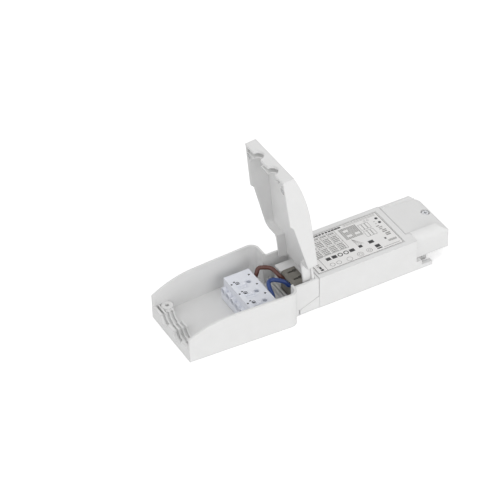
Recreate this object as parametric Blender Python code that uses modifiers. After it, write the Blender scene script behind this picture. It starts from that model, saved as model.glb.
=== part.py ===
"""LED driver with a click-on connection box, its lid swung open.

The box stands at the left end (-X) and the driver runs on to the right (+X).
Stations along the part are measured from the front face of the box and turned
into world X by at(). The underside of everything lies on Z = 0.
"""
import math

import bmesh
import bpy
from mathutils import Euler, Matrix, Vector

MM = 0.001
FIT = 0.3 * MM                       # gap between pieces that seat on each other
PART_NAME = "led_driver_with_connection_box"

# Connection box
BOX_LENGTH = 76.5 * MM               # front face to the shoulders
BOX_FRONT_WIDTH = 50.0 * MM
BOX_REAR_WIDTH = 58.0 * MM
BOX_CORNER = 6.0 * MM                # plan radius of the rear corners
BOX_WALL = 1.5 * MM
BOX_FLOOR = 2.0 * MM
END_WALL = 2.0 * MM
RIM_HEIGHT = 26.0 * MM
RIM_FRONT_HEIGHT = 17.8 * MM
RIM_ARC_LENGTH = 31.0 * MM           # how far back the rim still climbs
PARTING_HEIGHT = 9.4 * MM            # top of the end wall and of the cable saddles

# Neck of the box, which grips the driver
NECK_LENGTH = 18.0 * MM
NECK_NEAR = 21.2 * MM                # near outer face of the neck, from the middle
NECK_FAR = 17.0 * MM                 # far outer face
NECK_SLANT_START = 3.5 * MM          # behind the shoulders
NECK_SLANT_LOW = 4.0 * MM
NECK_SLANT_HIGH = 9.8 * MM
BRIDGE_LENGTH = 1.9 * MM
STOP_RIB_HEIGHT = 3.6 * MM
STOP_RIB_THICKNESS = 1.2 * MM
STOP_RIB_PITCH = 1.9 * MM

# Cable saddles and screw bosses at the front of the box
CABLE_RADIUS = 5.2 * MM
LID_CABLE_RADIUS = 4.6 * MM
CABLE_SPACING = 17.6 * MM
SADDLE_GAP_DEPTH = 1.8 * MM          # channel between the ribs, below their bore
SADDLE_RIB_THICKNESS = 1.2 * MM
SADDLE_RIB_PITCH = 2.8 * MM
SADDLE_RIB_COUNT = 3
SADDLE_RIB_DROP = 0.5 * MM
BOSS_STATION = 8.5 * MM
BOSS_FROM_SIDE = 5.0 * MM            # outer face of the box to the boss's axis
BOSS_RADIUS = 3.8 * MM
LID_BOSS_RADIUS = 3.1 * MM
LID_BOSS_POCKET = 2.3 * MM
POCKET_CEILING = 11.4 * MM
BOSS_HOLE_RADIUS = 1.3 * MM
BOSS_HOLE_FLOOR = 4.0 * MM

# Lid
LID_TOP = 24.0 * MM
LID_FRONT_TOP = 17.2 * MM
LID_ARC_LENGTH = 37.0 * MM
LID_WALL = 1.5 * MM
LID_SHOULDER_GAP = 0.7 * MM
SKIRT_STEP_STATION = 34.5 * MM
SKIRT_STEP_RUN = 2.5 * MM
SKIRT_STEP_HEIGHT = 11.8 * MM        # lower edge just behind the step
SKIRT_REAR_HEIGHT = 17.6 * MM        # lower edge at the shoulders
SKIRT_NECK_HEIGHT = 17.0 * MM
EAR_INSET = 4.8 * MM                 # outer face of the neck to the inner face of the ear
PIN_COVER = 0.5 * MM                 # neck wall left outside the pin's blind bore
HINGE_BARREL = 1.8 * MM
HINGE_PIN_RADIUS = 1.0 * MM
OPEN_ANGLE = math.radians(84.1)
SCREW_HEAD_RADIUS = 2.2 * MM
SCREW_HEAD_HEIGHT = 1.6 * MM
SCREW_SHANK_RADIUS = 1.0 * MM
SCREW_LENGTH = 6.0 * MM
COUNTERBORE_FLOOR = 13.6 * MM

# Connector block in the box
CONNECTOR_FROM_SHOULDERS = 31.5 * MM  # front of the block to the shoulders of the box
CONNECTOR_LENGTH = 20.0 * MM
CONNECTOR_HEIGHT = 15.7 * MM
CONNECTOR_CENTRE_Y = -1.0 * MM
POLE_PITCH = 11.6 * MM
POLE_COUNT = 3
ENTRY_ROW_LENGTH = 1.8 * MM          # how far the entries stand in front of the block
ENTRY_RADIUS = 2.0 * MM
ENTRY_DOME = 2.75 * MM
ENTRY_HEIGHT = 9.8 * MM
ENTRY_SPACING = 5.8 * MM
ENTRY_DEPTH = 4.4 * MM
TEST_FAR_Y = 6.7 * MM                # test hole of the far pole
TEST_PITCH = 10.4 * MM
CLAMP_LENGTH = 9.4 * MM
CLAMP_WIDTH = 5.4 * MM
CLAMP_HEIGHT = 5.0 * MM

# Wires
WIRE_RADIUS = 1.4 * MM
WIRE_HOLE_RADIUS = 1.9 * MM
WIRE_HEIGHT = 13.5 * MM
WIRE_STEP = 2.0 * MM

# Driver
BODY_GAP = 0.3 * MM                  # neck end to the full-width body
BODY_LENGTH = 69.2 * MM
BODY_WIDTH = 43.0 * MM
BODY_HEIGHT = 24.2 * MM
BODY_WALL = 1.5 * MM
NOSE_NEAR_Y = -14.6 * MM
NOSE_FAR_Y = 10.4 * MM
OUTPUT_NOSE_WIDTH = 20.8 * MM
COLLAR_LENGTH = 1.4 * MM             # ring of the body that fills the neck's mouth
NOSE_LENGTH = 14.4 * MM
OUTPUT_NOSE_INSET = 2.2 * MM         # end of the cover to the end of the nose
OUTPUT_NOSE_ROOF = 1.2 * MM          # over the output terminal
NOSE_HEIGHT = 18.5 * MM
FOOT_LENGTH = 7.0 * MM               # low stretch of the body below the cover
LUG_THICKNESS = 3.0 * MM
LUG_WIDTH = 9.8 * MM
LUG_SLOT_WIDTH = 3.8 * MM
LUG_SLOT_INSET = 3.2 * MM            # body side to the slot
LUG_LENGTH = 7.8 * MM
SHOE_GAP = 0.35 * MM                 # under the slanted cheeks of the neck
SHOE_SLOT_LENGTH = 7.0 * MM
BASE_THICKNESS = 2.0 * MM

# Label on the body
LABEL_LENGTH = 63.6 * MM
LABEL_WIDTH = 36.0 * MM
LABEL_START = 1.5 * MM               # behind the body's front edge
LABEL_RECESS = 0.6 * MM
LABEL_THICKNESS = 0.25 * MM

# Cover over the output terminals
COVER_LENGTH = 29.5 * MM
COVER_NEAR_Y = -18.0 * MM
SHOULDER_LENGTH = 3.0 * MM           # body's near corner beside the cover
SHOULDER_Y = -12.0 * MM
COVER_UNDERSIDE = 6.8 * MM
COVER_WALL = 1.6 * MM
COVER_ROOF = 2.6 * MM
COVER_SPACE = 2.9 * MM               # between the roof and the output nose
COVER_CHAMFER_LENGTH = 7.1 * MM
COVER_CHAMFER_DEPTH = 4.4 * MM
COVER_END_DROP = 4.7 * MM
COVER_NEAR_RADIUS = 6.4 * MM         # soft edge along the viewer's side
COVER_FAR_RADIUS = 1.0 * MM
COVER_NEAR_CORNER = 1.6 * MM
PANEL_NEAR_Y = -11.5 * MM
PANEL_FAR_Y = 19.3 * MM
PANEL_STEP = 0.2 * MM
PANEL_FALL = 3.5 * MM                # body's top to the panel's far end
COVER_SCREW_FROM_END = 4.6 * MM
COVER_SCREW_Y = 4.0 * MM
SCREW_WELL_DEPTH = 1.9 * MM
COVER_SCREW_LENGTH = 5.2 * MM
COVER_NOTCH_RADIUS = 3.0 * MM
COVER_POST_RADIUS = 2.9 * MM
COVER_POST_BASE = 12.0 * MM

# Terminals and circuit board
TERMINAL_LENGTH = 9.6 * MM
TERMINAL_WIDTH = 17.0 * MM
TERMINAL_TOP = 19.0 * MM
TERMINAL_NEAR_Y = -14.3 * MM
TERMINAL_PITCH = 7.5 * MM
TERMINAL_WIRE_HEIGHT = 15.5 * MM
BOARD_THICKNESS = 1.6 * MM
BOARD_UNDERSIDE = 3.4 * MM
OUTPUT_TERMINAL_WIDTH = 14.0 * MM
OUTPUT_TERMINAL_LENGTH = 9.0 * MM

# Parts on the circuit board
BOARD_EDGE_FREE = 2.0 * MM           # body wall to the nearest part
BOARD_END_FREE = 5.0 * MM
ROW_GAP = 2.0 * MM
CORE_LENGTH = 17.0 * MM
CORE_WIDTH = 20.0 * MM
CORE_LEG = 3.4 * MM
CORE_HEADROOM = 3.4 * MM             # below the roof of the body
WINDING_OVERHANG = 2.4 * MM
FILM_LENGTH = 8.0 * MM
FILM_WIDTH = 13.0 * MM
FILM_HEIGHT = 12.0 * MM
VARISTOR_RADIUS = 5.0 * MM
VARISTOR_THICKNESS = 3.6 * MM
FUSE_RADIUS = 3.8 * MM
FUSE_HEIGHT = 8.0 * MM
CHOKE_RADIUS = 7.2 * MM
CHOKE_HEIGHT = 7.0 * MM
CHOKE_BORE = 3.0 * MM
BULK_RADIUS = 5.5 * MM
BULK_LENGTH = 16.0 * MM
SMOOTHING_RADIUS = 5.0 * MM
SMOOTHING_HEIGHT = 13.0 * MM
FIN_LENGTH = 13.0 * MM
FIN_THICKNESS = 1.6 * MM
FIN_FOOT = 4.6 * MM
FIN_HEADROOM = 2.4 * MM
TRANSISTOR_LENGTH = 9.0 * MM
TRANSISTOR_THICKNESS = 3.1 * MM
CHIP_LENGTH = 9.5 * MM
CHIP_WIDTH = 6.2 * MM
CHIP_THICKNESS = 1.6 * MM

ROUND = 28                           # sides of a hole or a boss
ARC_STEPS = 12

# Worked out from the sizes above
NECK_END = BOX_LENGTH + NECK_LENGTH
BODY_START = NECK_END + BODY_GAP
BODY_END = BODY_START + BODY_LENGTH
COVER_START = BODY_END + FIT
TOTAL_LENGTH = COVER_START + COVER_LENGTH
FOOT_END = BODY_END + FOOT_LENGTH
NOSE_START = BODY_START - NOSE_LENGTH
NOSE_END = TOTAL_LENGTH - OUTPUT_NOSE_INSET
PANEL_END_HEIGHT = BODY_HEIGHT - PANEL_FALL
OUTPUT_NOSE_TOP = PANEL_END_HEIGHT - COVER_ROOF - COVER_SPACE
OUTPUT_TERMINAL_TOP = OUTPUT_NOSE_TOP - OUTPUT_NOSE_ROOF
BOARD_TOP = BOARD_UNDERSIDE + BOARD_THICKNESS
LID_INSET = BOX_WALL + FIT
LID_NECK_INSET = BOX_WALL + FIT
HINGE_STATION = NECK_END - BRIDGE_LENGTH - FIT - HINGE_BARREL
HINGE_HEIGHT = LID_TOP - HINGE_BARREL
POLES = [CONNECTOR_CENTRE_Y + POLE_PITCH * (1 - i) for i in range(POLE_COUNT)]
TERMINAL_START = NOSE_START + FIT
TERMINAL_FAR_Y = TERMINAL_NEAR_Y + TERMINAL_WIDTH
TERMINAL_POLES = [TERMINAL_NEAR_Y + TERMINAL_WIDTH / 2 + TERMINAL_PITCH * (0.5 - i) + 0.95 * MM
                  for i in range(2)]
CONNECTOR_STATION = BOX_LENGTH - CONNECTOR_FROM_SHOULDERS
CONNECTOR_END = CONNECTOR_STATION + CONNECTOR_LENGTH
CONNECTOR_BOTTOM = BOX_FLOOR + FIT
CONNECTOR_TOP = CONNECTOR_BOTTOM + CONNECTOR_HEIGHT
CONNECTOR_HALF = POLE_PITCH * POLE_COUNT / 2
PANEL_START = COVER_START + 0.8 * MM
BOSS_SPACING = (BOX_FRONT_WIDTH + (BOX_REAR_WIDTH - BOX_FRONT_WIDTH) * BOSS_STATION / BOX_LENGTH
                - 2 * BOSS_FROM_SIDE)


def at(station):
    """World X of a station measured from the front of the box."""
    return station - TOTAL_LENGTH / 2


def clear_scene():
    for old in list(bpy.data.objects):
        bpy.data.objects.remove(old, do_unlink=True)


def new_collection(name):
    collection = bpy.data.collections.new(name)
    bpy.context.scene.collection.children.link(collection)
    return collection


def material(name, colour, roughness, metallic=0.0):
    """A Principled material with one colour."""
    made = bpy.data.materials.new(name)
    made.use_nodes = True
    shader = made.node_tree.nodes["Principled BSDF"]
    shader.inputs["Base Color"].default_value = (*colour, 1.0)
    shader.inputs["Roughness"].default_value = roughness
    shader.inputs["Metallic"].default_value = metallic
    made.diffuse_color = (*colour, 1.0)
    return made


clear_scene()
PARTS = new_collection(PART_NAME)
TOOLS = new_collection("cutters")
WHITE = material("white polycarbonate", (0.80, 0.80, 0.79), 0.45)
BLOCK_WHITE = material("white polyamide", (0.78, 0.79, 0.82), 0.4)
GREY = material("grey polyamide", (0.30, 0.31, 0.29), 0.5)
LABEL = material("printed polyester", (0.72, 0.72, 0.71), 0.5)
BROWN = material("brown pvc", (0.13, 0.05, 0.035), 0.35)
BLUE = material("blue pvc", (0.03, 0.08, 0.30), 0.35)
STEEL = material("zinc plated steel", (0.6, 0.6, 0.6), 0.35, 1.0)
COPPER = material("tinned copper alloy", (0.65, 0.55, 0.40), 0.35, 1.0)
BOARD = material("green circuit board", (0.03, 0.18, 0.07), 0.5)
FERRITE = material("ferrite", (0.05, 0.05, 0.055), 0.6)
TAPE = material("yellow winding tape", (0.75, 0.55, 0.08), 0.4)
SLEEVE = material("black capacitor sleeve", (0.02, 0.02, 0.03), 0.35)
FILM = material("red film capacitor", (0.35, 0.03, 0.02), 0.35)
DISC = material("blue varistor coating", (0.03, 0.12, 0.35), 0.4)
ALUMINIUM = material("aluminium", (0.7, 0.7, 0.72), 0.3, 1.0)


def place(name, mesh, finish=None):
    """Link a mesh as a piece when it has a finish, and as a cutter when not."""
    thing = bpy.data.objects.new(name, mesh)
    if finish is None:
        TOOLS.objects.link(thing)
        thing.hide_render = True
        thing.display_type = "WIRE"
    else:
        PARTS.objects.link(thing)
        mesh.materials.clear()
        mesh.materials.append(finish)
    return thing


def block(name, stations, widths, heights, finish=None):
    """A box between two stations, two Y values and two heights."""
    low = Vector((at(stations[0]), widths[0], heights[0]))
    high = Vector((at(stations[1]), widths[1], heights[1]))
    shape = bmesh.new()
    bmesh.ops.create_cube(shape, size=1.0)
    bmesh.ops.scale(shape, vec=high - low, verts=shape.verts)
    bmesh.ops.translate(shape, vec=(low + high) / 2, verts=shape.verts)
    mesh = bpy.data.meshes.new(name)
    shape.to_mesh(mesh)
    shape.free()
    return place(name, mesh, finish)


def rod(name, centre, radius, length, axis="Z", finish=None, sides=ROUND, tip=None):
    """A cylinder, or a cone when tip is given, centred on (station, y, z)."""
    shape = bmesh.new()
    end = radius if tip is None else tip
    bmesh.ops.create_cone(shape, cap_ends=True, segments=sides, radius1=radius,
                          radius2=end, depth=length)
    turn = {"X": Euler((0, math.pi / 2, 0)), "Y": Euler((-math.pi / 2, 0, 0)), "Z": Euler((0, 0, 0))}
    bmesh.ops.rotate(shape, matrix=turn[axis].to_matrix(), verts=shape.verts)
    bmesh.ops.translate(shape, vec=(at(centre[0]), centre[1], centre[2]), verts=shape.verts)
    mesh = bpy.data.meshes.new(name)
    shape.to_mesh(mesh)
    shape.free()
    thing = place(name, mesh, finish)
    mesh.shade_smooth()
    mesh.set_sharp_from_angle(angle=math.radians(40))
    return thing


def curve_to_mesh(curve_object, name, finish):
    """Turn a curve into a closed mesh in the same place and remove the curve."""
    PARTS.objects.link(curve_object)
    bpy.context.view_layer.update()
    graph = bpy.context.evaluated_depsgraph_get()
    mesh = bpy.data.meshes.new_from_object(curve_object.evaluated_get(graph))
    shape = bmesh.new()
    shape.from_mesh(mesh)
    bmesh.ops.remove_doubles(shape, verts=shape.verts, dist=1e-6)
    shape.to_mesh(mesh)
    shape.free()
    thing = place(name, mesh, finish)
    thing.matrix_world = curve_object.matrix_world.copy()
    bpy.data.objects.remove(curve_object, do_unlink=True)
    return thing


def sheet(name, points, low, high, plane="XY", finish=None):
    """An outline of (station, y), (station, z) or (y, z) points given a thickness."""
    curve = bpy.data.curves.new(name, "CURVE")
    curve.dimensions = "2D"
    curve.fill_mode = "BOTH"
    curve.extrude = (high - low) / 2
    spline = curve.splines.new("POLY")
    spline.points.add(len(points) - 1)
    for target, (first, second) in zip(spline.points, points):
        target.co = (first, second, 0, 1)
    spline.use_cyclic_u = True
    outline = bpy.data.objects.new(name + "_outline", curve)
    middle = (low + high) / 2
    frames = {
        "XY": Matrix.Translation((at(0), 0, middle)),
        "XZ": Matrix.Translation((at(0), middle, 0))
        @ Matrix(((1, 0, 0, 0), (0, 0, -1, 0), (0, 1, 0, 0), (0, 0, 0, 1))),
        "YZ": Matrix.Translation((at(middle), 0, 0))
        @ Matrix(((0, 0, 1, 0), (1, 0, 0, 0), (0, 1, 0, 0), (0, 0, 0, 1))),
    }
    outline.matrix_world = frames[plane]
    return curve_to_mesh(outline, name, finish)


def combine(thing, tool, operation):
    step = thing.modifiers.new(tool.name, "BOOLEAN")
    step.operation = operation
    step.solver = "EXACT"
    step.object = tool


def cut(thing, *tools):
    for tool in tools:
        combine(thing, tool, "DIFFERENCE")


def join(thing, *tools):
    for tool in tools:
        combine(thing, tool, "UNION")


def soften(thing, width, segments=2, angle=40):
    """Round the sharp edges of a plain piece."""
    step = thing.modifiers.new("edges", "BEVEL")
    step.width = width
    step.segments = segments
    step.limit_method = "ANGLE"
    step.angle_limit = math.radians(angle)


def half_width(station):
    """Half the outer width of the tapered box."""
    share = station / BOX_LENGTH
    return (BOX_FRONT_WIDTH + (BOX_REAR_WIDTH - BOX_FRONT_WIDTH) * share) / 2


def box_plan(inset, front, rear, neck_inset, neck_end):
    """Plan outline of the box and its neck, each inset from its outer face."""
    radius = BOX_CORNER - inset
    corner_station = rear - radius
    corner_y = half_width(corner_station) - inset - radius
    side = [(front, half_width(front) - inset)]
    for i in range(ARC_STEPS // 2 + 1):
        turn = math.pi / 2 * (1 - i / (ARC_STEPS // 2))
        side.append((corner_station + radius * math.cos(turn), corner_y + radius * math.sin(turn)))
    far = side + [(rear, NECK_FAR - neck_inset), (neck_end, NECK_FAR - neck_inset)]
    near = side + [(rear, NECK_NEAR - neck_inset), (neck_end, NECK_NEAR - neck_inset)]
    return far + [(station, -y) for station, y in reversed(near)]


def rising_arc(front_height, top, run, past):
    """Side view of an edge that climbs in a circular arc and then runs level."""
    rise = top - front_height
    radius = (run * run + rise * rise) / (2 * rise)
    line = []
    for i in range(ARC_STEPS + 1):
        station = run * i / ARC_STEPS
        line.append((station, top - radius + math.sqrt(radius ** 2 - (run - station) ** 2)))
    return line + [(past, top)]


def above(name, line, ceiling, half):
    """A cutter that takes away all that lies above a side-view line."""
    first = line[0]
    outline = [(-2 * MM, ceiling), (-2 * MM, first[1]), *line, (line[-1][0], ceiling)]
    return sheet(name, outline, -half, half, "XZ")


def cable_bore(name, side, start, end, radius):
    height = PARTING_HEIGHT + FIT / 2
    return rod(name, ((start + end) / 2, side * CABLE_SPACING / 2, height),
               radius, end - start, "X")


def make_box_base():
    """Tapered tray with saddles for two cables and a neck that takes the driver."""
    reach = BOX_REAR_WIDTH
    high = RIM_HEIGHT + 10 * MM
    base = sheet("box_base", box_plan(0, 0, BOX_LENGTH, 0, NECK_END),
                 0, RIM_HEIGHT, finish=WHITE)
    inside = box_plan(BOX_WALL, END_WALL, BOX_LENGTH - BOX_WALL, BOX_WALL, NECK_END + 1 * MM)
    cut(base, sheet("box_cavity", inside, BOX_FLOOR, high))
    front_gap = half_width(0) - BOX_WALL
    cut(base, block("end_wall_top", (-1 * MM, END_WALL + 0.1 * MM), (-front_gap, front_gap),
                    (PARTING_HEIGHT, high)))
    rim = rising_arc(RIM_FRONT_HEIGHT, RIM_HEIGHT, RIM_ARC_LENGTH, RIM_ARC_LENGTH + 1 * MM)
    cut(base, above("rim_curve", rim, high, reach))
    cut(base, block("neck_top", (BOX_LENGTH, NECK_END + 1 * MM), (-reach, reach), (LID_TOP, high)))
    slant_start = BOX_LENGTH + NECK_SLANT_START
    slope = (NECK_SLANT_HIGH - NECK_SLANT_LOW) / (NECK_END - slant_start)
    slant = [(slant_start, -1 * MM), (NECK_END + 1 * MM, -1 * MM),
             (NECK_END + 1 * MM, NECK_SLANT_HIGH + slope * MM), (slant_start, NECK_SLANT_LOW)]
    cut(base, sheet("neck_slant", slant, -reach, reach, "XZ"))
    make_stop_ribs(base, slant_start)
    make_saddles(base)
    make_base_bosses(base)
    bridge = block("neck_bridge", (NECK_END - BRIDGE_LENGTH, NECK_END),
                   (-NECK_NEAR + 0.5 * MM, NECK_FAR - 0.5 * MM), (LID_TOP - LID_WALL, LID_TOP))
    join(base, bridge)
    cut(base, rod("hinge_bore", (HINGE_STATION, (NECK_FAR - NECK_NEAR) / 2, HINGE_HEIGHT),
                  HINGE_PIN_RADIUS + FIT, NECK_NEAR + NECK_FAR - 2 * PIN_COVER, "Y"))
    return base


def make_stop_ribs(base, end):
    """Two low ribs across the mouth of the neck, which the driver's nose butts on."""
    into_wall = BOX_WALL - 0.4 * MM
    widths = (into_wall - NECK_NEAR, NECK_FAR - into_wall)
    top = BOX_FLOOR + STOP_RIB_HEIGHT
    for i in range(2):
        rear = end - i * STOP_RIB_PITCH
        rib = block(f"stop_rib_{i + 1}", (rear - STOP_RIB_THICKNESS, rear), widths,
                    (BOX_FLOOR - 0.5 * MM, top - i * 0.8 * MM))
        join(base, rib)


def make_saddles(base):
    """Ribs behind the end wall, all bored by the two cable channels."""
    half = BOSS_SPACING / 2 - BOSS_RADIUS + 0.6 * MM
    end = END_WALL + SADDLE_RIB_PITCH * SADDLE_RIB_COUNT
    join(base, block("saddle_fill", (END_WALL - 0.5 * MM, end - 0.3 * MM), (-half, half),
                     (BOX_FLOOR - 0.5 * MM, PARTING_HEIGHT - SADDLE_RIB_DROP - SADDLE_GAP_DEPTH)))
    for side in (-1, 1):
        cut(base, cable_bore(f"cable_gap_{side}", side, END_WALL + 0.1 * MM, end + MM,
                             CABLE_RADIUS + SADDLE_GAP_DEPTH))
    full = half_width(END_WALL) - BOX_WALL + 0.3 * MM
    for i in range(SADDLE_RIB_COUNT):
        front = END_WALL + SADDLE_RIB_PITCH * (i + 1) - SADDLE_RIB_THICKNESS
        reach = full if i == 0 else half
        rib = block(f"saddle_rib_{i + 1}", (front, front + SADDLE_RIB_THICKNESS), (-reach, reach),
                    (BOX_FLOOR - 0.5 * MM, PARTING_HEIGHT - SADDLE_RIB_DROP))
        join(base, rib)
    end += SADDLE_RIB_PITCH
    for side in (-1, 1):
        cut(base, cable_bore(f"cable_channel_{side}", side, -1 * MM, end, CABLE_RADIUS))


def make_base_bosses(base):
    """Screw bosses in the two front corners, on blocks that reach the side walls."""
    for side in (-1, 1):
        y = side * BOSS_SPACING / 2
        wall = side * (half_width(BOSS_STATION) - BOX_WALL / 2)
        post = rod(f"base_boss_{side}", (BOSS_STATION, y, (BOX_FLOOR + PARTING_HEIGHT) / 2 - 0.25 * MM),
                   BOSS_RADIUS, PARTING_HEIGHT - BOX_FLOOR + 0.5 * MM)
        inner = y - side * (BOSS_RADIUS + MM)
        web = block(f"base_boss_web_{side}", (BOSS_STATION - 3 * MM, BOSS_STATION + 2.2 * MM),
                    (min(inner, wall), max(inner, wall)), (BOX_FLOOR - 0.5 * MM, PARTING_HEIGHT - MM))
        hole = rod(f"base_boss_hole_{side}",
                   (BOSS_STATION, y, (BOSS_HOLE_FLOOR + PARTING_HEIGHT + MM) / 2),
                   BOSS_HOLE_RADIUS, PARTING_HEIGHT + MM - BOSS_HOLE_FLOOR)
        join(base, post, web)
        cut(base, hole)


def lid_line(drop):
    """Side view of the lid's outer face, lowered by drop for its inner face."""
    return rising_arc(LID_FRONT_TOP - drop, LID_TOP - drop, LID_ARC_LENGTH, HINGE_STATION + 5 * MM)


def make_lid():
    """Lid modelled shut: a curved panel with skirts, bosses, cable arcs and hinge ears."""
    high = LID_TOP + 10 * MM
    reach = BOX_REAR_WIDTH
    skirt_low = PARTING_HEIGHT + FIT
    rear = BOX_LENGTH - BOX_WALL - LID_SHOULDER_GAP
    lid = sheet("box_lid", box_plan(LID_INSET, 0, rear, LID_NECK_INSET, HINGE_STATION),
                skirt_low, LID_TOP, finish=WHITE)
    deep = LID_INSET + LID_WALL
    cavity = sheet("lid_cavity", box_plan(deep, END_WALL, rear - LID_WALL, EAR_INSET,
                                          HINGE_STATION + 1 * MM), 0, LID_TOP)
    cut(cavity, above("lid_ceiling", lid_line(LID_WALL), high, reach))
    cut(lid, cavity)
    make_lid_front(lid)
    cut(lid, above("lid_curve", lid_line(0), high, reach))
    below = [(SKIRT_STEP_STATION, 0), (SKIRT_STEP_STATION, skirt_low),
             (SKIRT_STEP_STATION + SKIRT_STEP_RUN, SKIRT_STEP_HEIGHT), (rear, SKIRT_REAR_HEIGHT),
             (rear, SKIRT_NECK_HEIGHT), (HINGE_STATION + 3 * MM, SKIRT_NECK_HEIGHT),
             (HINGE_STATION + 3 * MM, 0)]
    cut(lid, sheet("skirt_profile", below, -reach, reach, "XZ"))
    for side, neck in ((-1, NECK_NEAR), (1, NECK_FAR)):
        inner = side * (neck - EAR_INSET)
        edge = side * (neck - EAR_INSET + LID_WALL)
        past = side * (neck - LID_NECK_INSET + MM)
        tip = side * (neck - PIN_COVER - FIT)
        cut(lid, block(f"ear_side_{side}", (rear + 0.2 * MM, HINGE_STATION + MM),
                       (min(edge, past), max(edge, past)), (0, LID_TOP - LID_WALL)))
        ear = rod(f"hinge_ear_{side}", (HINGE_STATION, (inner + edge) / 2, HINGE_HEIGHT),
                  HINGE_BARREL, LID_WALL, "Y")
        pin = rod(f"hinge_pin_{side}", (HINGE_STATION, (inner + tip) / 2 + side * 0.1 * MM, HINGE_HEIGHT),
                  HINGE_PIN_RADIUS, abs(tip - inner) - 0.2 * MM, "Y")
        join(lid, ear, pin)
    return lid


def make_lid_front(lid):
    """Clamping rib, screw bosses and cable arcs at the lid's front end."""
    half = CABLE_SPACING / 2 + CABLE_RADIUS + 1.4 * MM
    low = PARTING_HEIGHT + FIT
    front = END_WALL + SADDLE_RIB_PITCH
    rib = block("clamp_rib", (front, front + SADDLE_RIB_THICKNESS), (-half, half),
                (low, LID_TOP - MM))
    join(lid, rib)
    for side in (-1, 1):
        y = side * BOSS_SPACING / 2
        top = LID_TOP - MM
        post = rod(f"lid_boss_{side}", (BOSS_STATION, y, (low + top) / 2), LID_BOSS_RADIUS, top - low)
        pocket = rod(f"lid_boss_pocket_{side}", (BOSS_STATION, y, POCKET_CEILING / 2),
                     LID_BOSS_POCKET, POCKET_CEILING)
        hole = rod(f"lid_boss_hole_{side}", (BOSS_STATION, y, LID_TOP / 2), BOSS_HOLE_RADIUS, LID_TOP)
        well = rod(f"lid_screw_well_{side}", (BOSS_STATION, y, COUNTERBORE_FLOOR + LID_TOP / 2),
                   SCREW_HEAD_RADIUS + FIT, LID_TOP)
        join(lid, post)
        cut(lid, hole, well, pocket)
    for side in (-1, 1):
        cut(lid, cable_bore(f"lid_cable_arc_{side}", side, -1 * MM, front + 2 * MM,
                            LID_CABLE_RADIUS))


def make_lid_screw(name, side):
    """Pan-head screw kept in the lid, backed out until its tip is flush with the boss."""
    y = side * BOSS_SPACING / 2
    tip = PARTING_HEIGHT + 2 * FIT
    head_base = tip + SCREW_LENGTH
    screw = rod(name, (BOSS_STATION, y, head_base + SCREW_HEAD_HEIGHT / 2), SCREW_HEAD_RADIUS,
                SCREW_HEAD_HEIGHT, "Z", STEEL)
    shank = rod(name + "_shank", (BOSS_STATION, y, tip + SCREW_LENGTH / 2 + 0.2 * MM),
                SCREW_SHANK_RADIUS, SCREW_LENGTH + 0.4 * MM)
    join(screw, shank)
    cross_slot(screw, name, (BOSS_STATION, y, head_base + SCREW_HEAD_HEIGHT), SCREW_HEAD_RADIUS)
    return screw


def cross_slot(screw, name, top, radius):
    """Two crossed slots in the head of a screw."""
    station, y, z = top
    arm = radius * 0.62
    bar = 0.25 * MM
    depth = 0.8 * MM
    cut(screw, block(name + "_slot_x", (station - arm, station + arm), (y - bar, y + bar),
                     (z - depth, z + MM)))
    cut(screw, block(name + "_slot_y", (station - bar, station + bar), (y - arm, y + arm),
                     (z - depth, z + MM)))


def make_connector():
    """Three-pole terminal block: two wire entries a pole in front, one behind."""
    sides = (CONNECTOR_CENTRE_Y - CONNECTOR_HALF, CONNECTOR_CENTRE_Y + CONNECTOR_HALF)
    face = CONNECTOR_STATION + ENTRY_ROW_LENGTH
    housing = block("connector_housing", (face, CONNECTOR_END), sides,
                    (CONNECTOR_BOTTOM, CONNECTOR_TOP), BLOCK_WHITE)
    join(housing, block("entry_row", (CONNECTOR_STATION, face + MM), sides,
                        (CONNECTOR_BOTTOM, ENTRY_HEIGHT)))
    for i, y in enumerate(POLES):
        make_pole(housing, i + 1, y)
    return housing


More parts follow.
